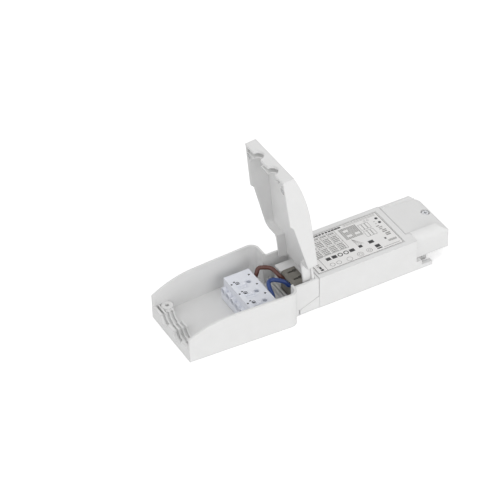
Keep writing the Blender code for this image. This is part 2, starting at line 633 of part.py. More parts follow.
def make_pole(housing, number, y):
    """Entries, clamp pocket and test openings of one pole."""
    middle = CONNECTOR_STATION + CONNECTOR_LENGTH / 2
    for side in (-1, 1):
        entry_y = y + side * ENTRY_SPACING / 2
        join(housing, rod(f"entry_dome_{number}_{side}",
                          (CONNECTOR_STATION + ENTRY_ROW_LENGTH / 2 + 0.5 * MM, entry_y, ENTRY_HEIGHT),
                          ENTRY_DOME, ENTRY_ROW_LENGTH + MM, "X", sides=24))
        cut(housing, rod(f"entry_{number}_{side}",
                         (CONNECTOR_STATION + ENTRY_DEPTH / 2 - MM, entry_y, ENTRY_HEIGHT),
                         ENTRY_RADIUS, ENTRY_DEPTH + 2 * MM, "X", sides=20))
    pocket = (middle - CLAMP_LENGTH / 2 - FIT, middle + CLAMP_LENGTH / 2 + FIT)
    cut(housing, block(f"clamp_pocket_{number}", pocket,
                       (y - CLAMP_WIDTH / 2 - FIT, y + CLAMP_WIDTH / 2 + FIT),
                       (WIRE_HEIGHT - CLAMP_HEIGHT / 2 - FIT, WIRE_HEIGHT + CLAMP_HEIGHT / 2 + FIT)))
    cut(housing, rod(f"jumper_hole_{number}", (CONNECTOR_END - 2.5 * MM, y, WIRE_HEIGHT),
                     WIRE_HOLE_RADIUS, 7 * MM, "X", sides=20))
    top = CONNECTOR_TOP
    test = TEST_FAR_Y - TEST_PITCH * (number - 1)
    cut(housing,
        rod(f"test_hole_{number}", (CONNECTOR_STATION + 6.5 * MM, test, top),
            0.8 * MM, 2.4 * MM, sides=12),
        rod(f"release_hole_{number}", (CONNECTOR_STATION + 13.6 * MM, test - 1.6 * MM, top),
            1.5 * MM, 2.4 * MM, sides=16),
        rod(f"rear_mark_{number}", (CONNECTOR_STATION + 17.2 * MM, test + 4.4 * MM, top),
            0.9 * MM, 1.4 * MM, sides=3),
        block(f"front_mark_{number}", (CONNECTOR_STATION + 2.5 * MM, CONNECTOR_STATION + 3.4 * MM),
              (test + 0.6 * MM, test + 1.6 * MM), (top - 1.0 * MM, top + MM)),
        block(f"pole_recess_{number}", (CONNECTOR_STATION + 5.0 * MM, CONNECTOR_STATION + 11.0 * MM),
              (test - 5.2 * MM, test - 2.8 * MM), (top - 0.5 * MM, top + MM)))


def make_clamp(number, y):
    """Bent metal clamp of one pole, a channel open towards the front."""
    middle = CONNECTOR_STATION + CONNECTOR_LENGTH / 2
    sheet_metal = 0.8 * MM
    lengths = (middle - CLAMP_LENGTH / 2, middle + CLAMP_LENGTH / 2)
    heights = (WIRE_HEIGHT - CLAMP_HEIGHT / 2, WIRE_HEIGHT + CLAMP_HEIGHT / 2)
    clamp = block(f"connector_clamp_{number}", lengths, (y - CLAMP_WIDTH / 2, y + CLAMP_WIDTH / 2),
                  heights, COPPER)
    cut(clamp, block(f"clamp_channel_{number}", (lengths[0] - MM, lengths[1] - sheet_metal),
                     (y - CLAMP_WIDTH / 2 + sheet_metal, y + CLAMP_WIDTH / 2 - sheet_metal),
                     (heights[0] + sheet_metal, heights[1] - sheet_metal)))
    return clamp


def smooth_route(points, step):
    """Points about one step apart on a Catmull-Rom curve through the route's own points."""
    ends = [points[0] * 2 - points[1]] + points + [points[-1] * 2 - points[-2]]
    route = []
    for a, b, c, d in zip(ends, ends[1:], ends[2:], ends[3:]):
        count = max(2, round((c - b).length / step))
        for i in range(count):
            t = i / count
            route.append(0.5 * ((2 * b) + (c - a) * t + (2 * a - 5 * b + 4 * c - d) * t * t
                                + (3 * b - a - 3 * c + d) * t ** 3))
    return route + [points[-1]]


def make_wire(name, stations, finish):
    """Insulated wire along a smooth route of (station, y, z) points."""
    points = [Vector((at(s), y, z)) for s, y, z in stations]
    route = smooth_route(points, WIRE_STEP)
    curve = bpy.data.curves.new(name, "CURVE")
    curve.dimensions = "3D"
    curve.bevel_depth = WIRE_RADIUS
    curve.bevel_resolution = 2
    curve.use_fill_caps = True
    spline = curve.splines.new("POLY")
    spline.points.add(len(route) - 1)
    for target, point in zip(spline.points, route):
        target.co = (*point, 1)
    wire = bpy.data.objects.new(name + "_path", curve)
    made = curve_to_mesh(wire, name, finish)
    made.data.shade_smooth()
    made.data.set_sharp_from_angle(angle=math.radians(50))
    return made


def make_wires():
    """Brown and blue leads from the connector block to the driver's input terminal."""
    clamp_rear = CONNECTOR_STATION + (CONNECTOR_LENGTH + CLAMP_LENGTH) / 2
    start = clamp_rear + FIT
    out = CONNECTOR_END + 0.6 * MM
    reach = TERMINAL_START + 2.6 * MM
    mouth = TERMINAL_START - 0.6 * MM
    live, neutral = TERMINAL_POLES
    level = TERMINAL_WIRE_HEIGHT
    first, last = POLES[0], POLES[-1]
    brown = [(start, first, WIRE_HEIGHT), (out, first, WIRE_HEIGHT),
             (out + 1.9 * MM, first + 0.3 * MM, WIRE_HEIGHT + 3.0 * MM),
             (out + 3.8 * MM, first + 1.0 * MM, WIRE_HEIGHT + 6.0 * MM),
             (out + 6.8 * MM, first - 0.8 * MM, WIRE_HEIGHT + 6.9 * MM),
             (out + 10.6 * MM, first - 3.8 * MM, WIRE_HEIGHT + 6.6 * MM),
             (mouth - 2.2 * MM, live + 2.0 * MM, level + 2.9 * MM),
             (mouth - 0.5 * MM, live + 0.5 * MM, level + 0.7 * MM),
             (mouth + MM, live, level), (reach, live, level)]
    blue = [(start, last, WIRE_HEIGHT), (out, last, WIRE_HEIGHT),
            (out + 1.0 * MM, last + 1.4 * MM, WIRE_HEIGHT + 2.2 * MM),
            (out + 1.2 * MM, last + 5.2 * MM, WIRE_HEIGHT + 4.5 * MM),
            (out + 2.8 * MM, last + 9.2 * MM, WIRE_HEIGHT + 5.9 * MM),
            (out + 6.4 * MM, last + 9.6 * MM, WIRE_HEIGHT + 6.1 * MM),
            (mouth - 2.6 * MM, neutral + 2.0 * MM, level + 2.8 * MM),
            (mouth - 0.6 * MM, neutral + 0.4 * MM, level + 0.4 * MM),
            (mouth + MM, neutral, level), (reach, neutral, level)]
    make_wire("brown_wire", brown, BROWN)
    make_wire("blue_wire", blue, BLUE)


def make_terminal():
    """Grey push-in terminal at the driver's input, with a release slot over each pole."""
    end = TERMINAL_START + TERMINAL_LENGTH
    terminal = block("input_terminal", (TERMINAL_START, end), (TERMINAL_NEAR_Y, TERMINAL_FAR_Y),
                     (BOARD_TOP + FIT, TERMINAL_TOP), GREY)
    slope = [(TERMINAL_START - MM, TERMINAL_TOP + MM), (TERMINAL_START - MM, TERMINAL_TOP - 2.4 * MM),
             (TERMINAL_START, TERMINAL_TOP - 1.6 * MM), (TERMINAL_START + 1.6 * MM, TERMINAL_TOP),
             (TERMINAL_START + 1.6 * MM, TERMINAL_TOP + MM)]
    cut(terminal, sheet("terminal_slope", slope, TERMINAL_NEAR_Y - MM, TERMINAL_FAR_Y + MM, "XZ"))
    for i, y in enumerate(TERMINAL_POLES):
        cut(terminal,
            rod(f"terminal_entry_{i + 1}", (TERMINAL_START + 2 * MM, y, TERMINAL_WIRE_HEIGHT),
                WIRE_HOLE_RADIUS, 6 * MM, "X", sides=20),
            block(f"terminal_slot_{i + 1}", (TERMINAL_START + 2.8 * MM, TERMINAL_START + 6.4 * MM),
                  (y - 0.7 * MM, y + 0.7 * MM), (TERMINAL_WIRE_HEIGHT + 2.2 * MM, TERMINAL_TOP + MM)),
            rod(f"terminal_key_{i + 1}", (TERMINAL_START + 7.6 * MM, y, TERMINAL_TOP),
                0.8 * MM, 2 * MM, sides=12))
    return terminal


def lug(name, station_near_body, direction, length, side):
    """Fixing lug with an open slot, standing out from the body's end along X."""
    tip = station_near_body + direction * length
    root = station_near_body - direction * 0.5 * MM
    outer = side * BODY_WIDTH / 2
    inner = outer - side * LUG_WIDTH
    plate = block(name, (min(root, tip), max(root, tip)), (min(outer, inner), max(outer, inner)),
                  (0, LUG_THICKNESS))
    middle = outer - side * (LUG_SLOT_INSET + LUG_SLOT_WIDTH / 2)
    root_slot = station_near_body + direction * (LUG_SLOT_WIDTH / 2 + 0.6 * MM)
    cut(plate, open_slot(name + "_slot", tip + direction * MM, root_slot, middle, LUG_SLOT_WIDTH,
                         (-MM, LUG_THICKNESS + MM)))
    return plate


def open_slot(name, start, end, y, width, heights):
    """Cutter for a slot with a round end, one outline from its open side to its arc."""
    turning = 1 if end > start else -1
    outline = [(start, y - width / 2)]
    for i in range(ARC_STEPS + 1):
        turn = math.pi * (i / ARC_STEPS - 0.5)
        outline.append((end + turning * width / 2 * math.cos(turn), y + width / 2 * math.sin(turn)))
    outline.append((start, y + width / 2))
    return sheet(name, outline, heights[0], heights[1])


def make_shoe(half):
    """Wedge of the body that runs on under the slanted cheeks of the neck."""
    slant_start = BOX_LENGTH + NECK_SLANT_START
    slope = (NECK_SLANT_HIGH - NECK_SLANT_LOW) / (NECK_END - slant_start)
    start, end = NOSE_START + FIT, BODY_START + 0.5 * MM
    low = NECK_SLANT_LOW - SHOE_GAP + slope * (start - slant_start)
    high = NECK_SLANT_LOW - SHOE_GAP + slope * (end - slant_start)
    side_view = [(start, 0), (end, 0), (end, high), (start, low)]
    return sheet("input_shoe", side_view, -half, half, "XZ")


def make_housing():
    """Driver body: a shell open below, with a nose and fixing slots at each end."""
    half = BODY_WIDTH / 2
    out_nose = OUTPUT_NOSE_WIDTH / 2
    wall = BODY_WALL
    housing = block("driver_housing", (BODY_START, BODY_END), (-half, half), (0, BODY_HEIGHT), WHITE)
    foot_top = COVER_UNDERSIDE - FIT
    out_top = OUTPUT_NOSE_TOP
    join(housing,
         block("input_nose", (NOSE_START, BODY_START + MM), (NOSE_NEAR_Y, NOSE_FAR_Y), (0, NOSE_HEIGHT)),
         block("body_foot", (BODY_END - MM, FOOT_END), (-half, half), (0, foot_top)),
         block("output_nose", (BODY_END - MM, NOSE_END), (-out_nose, out_nose), (0, out_top)))
    join(housing, block("body_shoulder", (BODY_END - MM, BODY_END + SHOULDER_LENGTH),
                        (-half, SHOULDER_Y), (0, BODY_HEIGHT)))
    join(housing, make_shoe(NECK_NEAR),
         block("neck_collar", (NECK_END - COLLAR_LENGTH, BODY_START + MM),
               (LID_NECK_INSET - NECK_NEAR, NECK_FAR - LID_NECK_INSET),
               (LUG_THICKNESS, LID_TOP - LID_WALL - FIT)))
    for side, tag in ((-1, "near"), (1, "far")):
        join(housing, lug(f"output_lug_{tag}", FOOT_END, 1, LUG_LENGTH, side))
        slot_y = side * (half - LUG_SLOT_INSET - LUG_SLOT_WIDTH / 2)
        cut(housing, open_slot(f"shoe_slot_{tag}", NOSE_START - MM, NOSE_START + SHOE_SLOT_LENGTH,
                               slot_y, LUG_SLOT_WIDTH, (-MM, NECK_SLANT_HIGH)))
    cut(housing,
        block("body_cavity", (BODY_START + wall, BODY_END - wall), (-half + wall, half - wall),
              (-MM, BODY_HEIGHT - wall)),
        block("input_nose_cavity", (NOSE_START + wall, BODY_START + wall + MM),
              (NOSE_NEAR_Y + wall, NOSE_FAR_Y - wall), (-MM, NOSE_HEIGHT - wall)),
        block("output_nose_cavity", (BODY_END - wall - MM, NOSE_END - wall),
              (-out_nose + wall, out_nose - wall), (-MM, out_top - wall)),
        block("input_window", (NOSE_START - MM, TERMINAL_START + TERMINAL_LENGTH + FIT),
              (NOSE_NEAR_Y - MM, TERMINAL_FAR_Y + FIT), (BOARD_UNDERSIDE - FIT, NOSE_HEIGHT + MM)),
        block("output_window", (NOSE_END - 4 * MM, NOSE_END + MM),
              (-out_nose + 2.6 * MM, out_nose - 2.6 * MM),
              (BOARD_UNDERSIDE - FIT, out_top - wall + 0.2 * MM)),
        rod("cover_screw_pilot", (TOTAL_LENGTH - COVER_SCREW_FROM_END, COVER_SCREW_Y, out_top),
            BOSS_HOLE_RADIUS, 4 * MM))
    label = (BODY_START + LABEL_START, BODY_START + LABEL_START + LABEL_LENGTH)
    cut(housing, block("label_recess", label, (-LABEL_WIDTH / 2, LABEL_WIDTH / 2),
                       (BODY_HEIGHT - LABEL_RECESS, BODY_HEIGHT + MM)))
    return housing


def make_label():
    """Rating label lying in its recess on top of the body."""
    start = BODY_START + LABEL_START + FIT
    end = BODY_START + LABEL_START + LABEL_LENGTH - FIT
    low = BODY_HEIGHT - LABEL_RECESS + FIT
    return block("rating_label", (start, end), (-LABEL_WIDTH / 2 + FIT, LABEL_WIDTH / 2 - FIT),
                 (low, low + LABEL_THICKNESS), LABEL)


def make_base_plate():
    """Bottom plate snapped into the housing, with board rests and the cover's screw post."""
    half = BODY_WIDTH / 2 - BODY_WALL - FIT
    gap = BODY_WALL + FIT
    out_nose = OUTPUT_NOSE_WIDTH / 2 - gap
    plate = block("driver_base", (BODY_START + BODY_WALL + FIT, BODY_END - BODY_WALL - FIT),
                  (-half, half), (0, BASE_THICKNESS), WHITE)
    join(plate,
         block("input_tongue", (NOSE_START + gap, BODY_START + gap + MM),
               (NOSE_NEAR_Y + gap, NOSE_FAR_Y - gap), (0, BASE_THICKNESS)),
         block("output_tongue", (BODY_END - gap - MM, NOSE_END - gap), (-out_nose, out_nose),
               (0, BASE_THICKNESS)))
    for i, station in enumerate((BODY_START + 8 * MM, BODY_END - 8 * MM)):
        join(plate, block(f"board_rest_{i + 1}", (station - MM, station + MM),
                          (-half + 2 * MM, half - 2 * MM),
                          (BASE_THICKNESS - 0.5 * MM, BOARD_UNDERSIDE - FIT)))
    return plate


def cover_section():
    """Cross-section of the cover: soft edge on the near side, tight one on the far side."""
    half = BODY_WIDTH / 2
    near = COVER_NEAR_Y
    section = [(half, COVER_UNDERSIDE)]
    for i in range(4):
        turn = math.pi / 2 * i / 3
        section.append((half - COVER_FAR_RADIUS * (1 - math.cos(turn)),
                        BODY_HEIGHT - COVER_FAR_RADIUS * (1 - math.sin(turn))))
    for i in range(11):
        turn = math.pi / 2 * (1 + i / 10)
        section.append((near + COVER_NEAR_RADIUS * (1 + math.cos(turn)),
                        BODY_HEIGHT - COVER_NEAR_RADIUS * (1 - math.sin(turn))))
    section.append((near, COVER_UNDERSIDE))
    return section


def make_cover():
    """Cover over the output end: a far chamfer, a bevelled end and a sloping panel."""
    half = BODY_WIDTH / 2
    bevel_start = TOTAL_LENGTH - COVER_CHAMFER_LENGTH
    end_half = half - COVER_CHAMFER_DEPTH
    cover = sheet("output_cover", cover_section(), COVER_START, TOTAL_LENGTH, "YZ", WHITE)
    past = TOTAL_LENGTH + 3 * MM
    run = COVER_CHAMFER_DEPTH / COVER_CHAMFER_LENGTH * 3 * MM
    corner = [(bevel_start, half), (past, end_half - run), (past, half + MM), (bevel_start, half + MM)]
    cut(cover, sheet("cover_corner_far", corner, 0, BODY_HEIGHT + MM))
    near = COVER_NEAR_Y
    small = COVER_NEAR_CORNER
    corner = [(TOTAL_LENGTH - small, near), (TOTAL_LENGTH - small, near - MM),
              (TOTAL_LENGTH + MM, near - MM), (TOTAL_LENGTH + MM, near + small),
              (TOTAL_LENGTH, near + small), (TOTAL_LENGTH - 0.3 * small, near + 0.3 * small)]
    cut(cover, sheet("cover_corner_near", corner, 0, BODY_HEIGHT + MM))
    cut(cover, block("cover_shoulder_gap", (COVER_START - MM, BODY_END + SHOULDER_LENGTH + FIT),
                     (-half - MM, SHOULDER_Y + FIT), (0, BODY_HEIGHT + MM)))
    drop = COVER_END_DROP / COVER_CHAMFER_LENGTH * 3 * MM
    slope = [(bevel_start, BODY_HEIGHT), (past, BODY_HEIGHT - COVER_END_DROP - drop),
             (past, BODY_HEIGHT + MM), (bevel_start, BODY_HEIGHT + MM)]
    cut(cover, sheet("cover_end_slope", slope, -half - MM, half + MM, "XZ"))
    fall = (BODY_HEIGHT - PANEL_STEP - PANEL_END_HEIGHT) / (TOTAL_LENGTH - PANEL_START)
    panel = [(PANEL_START, BODY_HEIGHT - PANEL_STEP), (past, PANEL_END_HEIGHT - fall * 3 * MM),
             (past, BODY_HEIGHT + MM), (PANEL_START, BODY_HEIGHT + MM)]
    cut(cover, sheet("cover_panel", panel, PANEL_NEAR_Y, PANEL_FAR_Y, "XZ"))
    ceiling = PANEL_END_HEIGHT - COVER_ROOF
    inner = half - COVER_WALL
    cut(cover,
        block("cover_cavity", (COVER_START - MM, bevel_start - 0.5 * MM),
              (near + COVER_WALL, inner), (0, ceiling)),
        block("cover_end_cavity", (bevel_start - MM, TOTAL_LENGTH - COVER_WALL),
              (near + COVER_WALL, end_half - MM), (0, ceiling)))
    make_cover_screw_seat(cover, ceiling)
    return cover


def make_cover_screw_seat(cover, ceiling):
    """Post under the cover, its screw well and the half-round notch above it."""
    station = TOTAL_LENGTH - COVER_SCREW_FROM_END
    low = OUTPUT_NOSE_TOP + FIT
    post = rod("cover_post", (station, COVER_SCREW_Y, (low + ceiling + MM) / 2),
               COVER_POST_RADIUS, ceiling + MM - low)
    join(cover, post)
    well_floor = PANEL_END_HEIGHT - SCREW_WELL_DEPTH
    cut(cover,
        rod("cover_notch", (station, COVER_SCREW_Y, well_floor + 5 * MM), COVER_NOTCH_RADIUS, 10 * MM),
        rod("cover_screw_hole", (station, COVER_SCREW_Y, ceiling), BOSS_HOLE_RADIUS, 12 * MM))


def make_cover_screw():
    station = TOTAL_LENGTH - COVER_SCREW_FROM_END
    seat = PANEL_END_HEIGHT - SCREW_WELL_DEPTH + FIT
    screw = rod("output_cover_screw", (station, COVER_SCREW_Y, seat + SCREW_HEAD_HEIGHT / 2),
                SCREW_HEAD_RADIUS, SCREW_HEAD_HEIGHT, "Z", STEEL)
    shank = rod("output_cover_screw_shank", (station, COVER_SCREW_Y, seat - COVER_SCREW_LENGTH / 2),
                SCREW_SHANK_RADIUS, COVER_SCREW_LENGTH + 0.4 * MM)
    join(screw, shank)
    cross_slot(screw, "output_cover_screw", (station, COVER_SCREW_Y, seat + SCREW_HEAD_HEIGHT),
               SCREW_HEAD_RADIUS)
    return screw


def make_board():
    """Circuit board with a tongue into each nose."""
    half = BODY_WIDTH / 2 - BODY_WALL - 2 * FIT
    board = block("circuit_board", (BODY_START + BODY_WALL + FIT, BODY_END - BODY_WALL - FIT),
                  (-half, half), (BOARD_UNDERSIDE, BOARD_TOP), BOARD)
    gap = BODY_WALL + 2 * FIT
    out_nose = OUTPUT_NOSE_WIDTH / 2 - gap
    join(board,
         block("input_board_tongue", (NOSE_START + gap, BODY_START + gap + MM),
               (NOSE_NEAR_Y + gap, NOSE_FAR_Y - gap), (BOARD_UNDERSIDE, BOARD_TOP)),
         block("output_board_tongue", (BODY_END - gap - MM, NOSE_END - gap), (-out_nose, out_nose),
               (BOARD_UNDERSIDE, BOARD_TOP)))
    return board


def make_output_terminal():
    """Output terminal under the cover, with two wire entries facing the end."""
    end = NOSE_END - BODY_WALL - FIT
    length = OUTPUT_TERMINAL_LENGTH
    width = OUTPUT_TERMINAL_WIDTH
    terminal = block("output_terminal", (end - length, end), (-width / 2, width / 2),
                     (BOARD_TOP + FIT, OUTPUT_TERMINAL_TOP - FIT - 0.3 * MM), GREY)
    for i in range(2):
        y = TERMINAL_PITCH * (0.5 - i)
        cut(terminal, rod(f"output_entry_{i + 1}", (end - 1.5 * MM, y, BOARD_TOP + 4.2 * MM),
                          WIRE_HOLE_RADIUS, 6 * MM, "X", sides=20))
    return terminal


def make_transformer(station):
    """Ferrite core with a window on each side of its wound middle leg."""
    seat = BOARD_TOP + FIT
    top = BODY_HEIGHT - BODY_WALL - CORE_HEADROOM
    half, leg = CORE_WIDTH / 2, CORE_LEG
    core = block("transformer_core", (station, station + CORE_LENGTH), (-half, half),
                 (seat, top), FERRITE)
    window = (CORE_LENGTH - 3 * leg) / 2
    for i in range(2):
        start = station + leg + i * (window + leg)
        cut(core, block(f"core_window_{i + 1}", (start, start + window), (-2 * half, 2 * half),
                        (seat + leg, top - leg)))
    middle = station + CORE_LENGTH / 2
    ring = window - FIT
    reach = half + WINDING_OVERHANG
    winding = block("transformer_winding", (middle - leg / 2 - ring, middle + leg / 2 + ring),
                    (-reach, reach), (seat + leg + FIT, top - leg - FIT), TAPE)
    gap = leg / 2 + FIT
    cut(winding, block("winding_bore", (middle - gap, middle + gap), (-half - FIT, half + FIT),
                       (seat, top)))
    soften(winding, 0.5 * MM, 1)


def make_components():
    """The larger parts on the circuit board, in four rows from the input end."""
    seat = BOARD_TOP + FIT
    side = BODY_WIDTH / 2 - BODY_WALL - BOARD_EDGE_FREE
    row = BODY_START + BOARD_END_FREE
    film = block("film_capacitor", (row, row + FILM_LENGTH), (side - FILM_WIDTH, side),
                 (seat, seat + FILM_HEIGHT), FILM)
    soften(film, 0.6 * MM)
    rod("varistor", (row + VARISTOR_THICKNESS, 0.5 * MM - side + VARISTOR_RADIUS,
                     seat + VARISTOR_RADIUS + 0.2 * MM), VARISTOR_RADIUS, VARISTOR_THICKNESS, "X", DISC, 24)
    rod("fuse", (row + FUSE_RADIUS, side - FILM_WIDTH - ROW_GAP / 2 - FUSE_RADIUS,
                 seat + FUSE_HEIGHT / 2), FUSE_RADIUS, FUSE_HEIGHT, "Z", SLEEVE, 24)
    row += FILM_LENGTH + ROW_GAP
    centre = (row + CHOKE_RADIUS, CHOKE_RADIUS - side, seat + CHOKE_HEIGHT / 2)
    ring = rod("line_choke", centre, CHOKE_RADIUS, CHOKE_HEIGHT, "Z", FERRITE, 24)
    cut(ring, rod("choke_bore", centre, CHOKE_BORE, CHOKE_HEIGHT + ROW_GAP, sides=20))
    bulk = rod("bulk_capacitor", (row + BULK_LENGTH / 2, side - ROW_GAP - BULK_RADIUS, seat + BULK_RADIUS),
               BULK_RADIUS, BULK_LENGTH, "X", SLEEVE, 28)
    soften(bulk, 0.5 * MM)
    row += BULK_LENGTH + ROW_GAP / 2
    make_transformer(row)
    row += CORE_LENGTH + ROW_GAP
    rod("output_capacitor", (row + SMOOTHING_RADIUS, side - SMOOTHING_RADIUS - ROW_GAP / 2,
                             seat + SMOOTHING_HEIGHT / 2), SMOOTHING_RADIUS, SMOOTHING_HEIGHT, "Z",
        SLEEVE, 28)
    make_heatsink(row, ROW_GAP - side, seat)
    chip = block("control_chip", (row, row + CHIP_LENGTH), (1.2 * MM - CHIP_WIDTH, 1.2 * MM),
                 (seat, seat + CHIP_THICKNESS), SLEEVE)
    soften(chip, 0.2 * MM, 1)


def make_heatsink(start, back, seat):
    """Upright aluminium fin on a foot, with the power transistor on its inner face."""
    top = BODY_HEIGHT - BODY_WALL - FIN_HEADROOM
    face = back + FIN_THICKNESS
    fin = block("heatsink", (start, start + FIN_LENGTH), (back, face), (seat, top), ALUMINIUM)
    join(fin, block("heatsink_foot", (start, start + FIN_LENGTH), (back, back + FIN_FOOT),
                    (seat, seat + FIN_THICKNESS - 0.4 * MM)))
    middle = start + FIN_LENGTH / 2
    block("power_transistor", (middle - TRANSISTOR_LENGTH / 2, middle + TRANSISTOR_LENGTH / 2),
          (face + FIT, face + FIT + TRANSISTOR_THICKNESS),
          (seat + FIN_THICKNESS - 0.4 * MM + FIT, top - 3 * MM), SLEEVE)


def swing_open(pieces, tools):
    """Hang the lid's pieces and cutters on an empty at the hinge and turn it open."""
    hinge = bpy.data.objects.new("lid_hinge", None)
    PARTS.objects.link(hinge)
    hinge.location = (at(HINGE_STATION), 0, HINGE_HEIGHT)
    bpy.context.view_layer.update()
    back = hinge.matrix_world.inverted()
    for thing in [*pieces, *tools]:
        thing.parent = hinge
        thing.matrix_parent_inverse = back
    hinge.rotation_euler = (0, OPEN_ANGLE, 0)


def build():
    make_box_base()
    before = set(TOOLS.objects)
    lid = make_lid()
    screws = [make_lid_screw("lid_screw_near", -1), make_lid_screw("lid_screw_far", 1)]
    swing_open([lid, *screws], [tool for tool in TOOLS.objects if tool not in before])
    make_connector()
    for i, y in enumerate(POLES):
        make_clamp(i + 1, y)
    make_wires()
    make_terminal()
    make_housing()
    make_label()
    make_base_plate()
    make_cover()
    make_cover_screw()
    make_board()
    make_output_terminal()
    make_components()
    bpy.context.view_layer.update()


build()
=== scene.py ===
"""Looks for the LED driver and its opened connection box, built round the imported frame."""

import math

import bpy
import numpy as np
from bpy.props import FloatProperty, IntProperty, PointerProperty, StringProperty
from mathutils import Matrix, Vector


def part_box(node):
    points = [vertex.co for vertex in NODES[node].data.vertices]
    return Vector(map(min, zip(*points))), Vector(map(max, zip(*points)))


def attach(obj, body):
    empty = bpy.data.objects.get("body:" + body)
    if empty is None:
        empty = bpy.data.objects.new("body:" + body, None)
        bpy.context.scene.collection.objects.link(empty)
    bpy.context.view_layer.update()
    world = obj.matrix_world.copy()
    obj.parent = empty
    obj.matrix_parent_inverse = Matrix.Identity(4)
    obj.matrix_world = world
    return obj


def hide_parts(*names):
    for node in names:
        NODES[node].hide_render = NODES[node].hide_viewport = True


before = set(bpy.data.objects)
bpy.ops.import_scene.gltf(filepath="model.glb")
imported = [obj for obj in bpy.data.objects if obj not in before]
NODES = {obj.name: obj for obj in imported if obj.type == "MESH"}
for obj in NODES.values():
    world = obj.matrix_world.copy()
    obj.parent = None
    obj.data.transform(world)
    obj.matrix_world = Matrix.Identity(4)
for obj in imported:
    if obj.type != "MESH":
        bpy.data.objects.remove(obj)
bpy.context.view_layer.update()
ROOT = "box_and_driver"                 # body on which every new piece rides
MM = 0.001
CLOUD_SIZE = 9 * MM                     # size of the faint patches in every finish
SHARP_ANGLE = math.radians(45)          # edges steeper than this stay sharp

# Places in millimetres, where part.py has them. Stations run along X from the front of the box.
LENGTH = 193.8                          # whole part
BLOCK_MIDDLE = -1.0                     # Y of the terminal block's middle
LEAD_SPACING = 11.6                     # Y from one of its leads to the next
BLOCK_FRONT = 45.0                      # station of its entry face
BLOCK_TOP = 18.0
ENTRY_HEIGHT = 9.8                      # middle of the wire entries
ENTRY_OFFSETS = (2.9, -2.9)             # the two entries of a pole, from its middle
ENTRY_FLOOR = 48.2                      # station at which the entries end
BLOCK_POLES = 6.7 - 10.4 * np.arange(3)  # Y of the holes in the top
BUTTON_STATION = 51.5
DOME_STATION = 55.6
RELEASE_STATION = 58.6                  # second row of holes
TICK_STATION = 62.2                     # three-sided marks
DRIVER_POLES = (-1.1, -8.6)             # Y of the leads at the driver
SLOT_STATION = 85.3                     # slots in the driver's input terminal
SLOT_RING_STATION = 88.3
PLATE_HALF = 0.1                        # half thickness of the plates at the ends of the holes
PINHOLE = 0.03                          # radius left open in the middle of a plate

# Studio: the lamps are (name, place in metres, side of the square in metres, power in watts).
LAMPS = (("key", (0.2, -1.7, 0.7), 1.0, 9.0), ("fill", (-1.2, -0.6, 1.3), 1.4, 4.6),
         ("top", (0.1, 0.5, 1.6), 1.2, 2.7))
AIM = (0, 0, 0.02)                      # point that the lamps face, in metres
WORLD_LIGHT = 0.62                      # strength of the world where it lights the part
WORLD_SEEN = 1.0                        # strength where the camera or a reflection sees it
FLOOR_GLOW = 0.42                       # emission of the floor towards the camera
LENS = 172.76                           # focal length in millimetres, for a sensor 36 mm wide

bl_info = {
    "name": "LED driver with connection box",
    "version": (1, 0, 0),
    "blender": (4, 5, 0),
    "location": "3D View > Sidebar > Driver box",
    "description": "Dresses the packed driver and its connection box with surfaces and finishes",
    "category": "Object",
}


class DriverBoxColours(bpy.types.PropertyGroup):
    """Colours of the finishes that show, as sRGB hex values."""
    shell: StringProperty(name="Shell", description="White polycarbonate of the box and driver",
                          default="#eaeaea")
    shell_shade: StringProperty(name="Shell shade", description="Faint cloudiness of the same plastic",
                                default="#e3e3e2")
    block: StringProperty(name="Block", description="White polyamide of the terminal block",
                          default="#eceef4")
    block_shade: StringProperty(name="Block shade", description="Bluer patches of the terminal block",
                                default="#dfe2eb")
    terminal: StringProperty(name="Terminal", description="Grey polyamide of the driver's terminals",
                             default="#8b8880")
    terminal_shade: StringProperty(name="Terminal shade", description="Darker flow marks of the terminal",
                                   default="#6e6b65")
    label: StringProperty(name="Label", description="Printed film on the driver", default="#f1f0ef")
    ink: StringProperty(name="Ink", description="Dark print on the label", default="#1f1f21")
    grey_ink: StringProperty(name="Grey ink", description="Fine print on the label, seen as grey",
                             default="#6c6b6a")
    live: StringProperty(name="Live wire", description="Insulation of the first lead",
                         default="#623a30")
    neutral: StringProperty(name="Neutral wire", description="Insulation of the second lead",
                            default="#294688")
    floor: StringProperty(name="Floor", description="Floor and backdrop", default="#f7f7f7")


class DriverBoxSizes(bpy.types.PropertyGroup):
    """Sizes that the surface pieces are worked out from, in metres."""
    wire_radius: FloatProperty(name="Wire radius", description="Outside radius of the insulation",
                               default=1.4 * MM, unit="LENGTH")
    wire_sides: IntProperty(name="Wire sides", description="Facets round a lead", default=28)
    wire_steps: IntProperty(name="Wire steps", description="Stations between two points of its route",
                            default=14)
    ink_thickness: FloatProperty(name="Ink thickness", description="How far print stands off the label",
                                 default=0.02 * MM, unit="LENGTH")
    edge_radius: FloatProperty(name="Edge radius", description="Softness of the moulded edges",
                               default=0.45 * MM, unit="LENGTH")


def at(station):
    """World X of a station in millimetres, measured from the front of the box."""
    return (np.asarray(station, dtype=float) - LENGTH / 2) * MM


def linear(colour):
    """Linear RGB of an sRGB hex colour such as #e9e9e8."""
    parts = [int(colour[i:i + 2], 16) / 255 for i in (1, 3, 5)]
    return [c / 12.92 if c <= 0.04045 else ((c + 0.055) / 1.055) ** 2.4 for c in parts]


def rgba(colour):
    """The same colour with full alpha, as Blender's sockets take it."""
    return (*linear(colour), 1.0)


def node(tree, kind, links=None, **settings):
    """Add a node, set its values and link {input name: output socket} into it."""
    made = tree.nodes.new(kind)
    for key, value in settings.items():
        if key in made.inputs:
            made.inputs[key].default_value = value
        else:
            setattr(made, key, value)
    for key, socket in (links or {}).items():
        tree.links.new(socket, made.inputs[key])
    return made


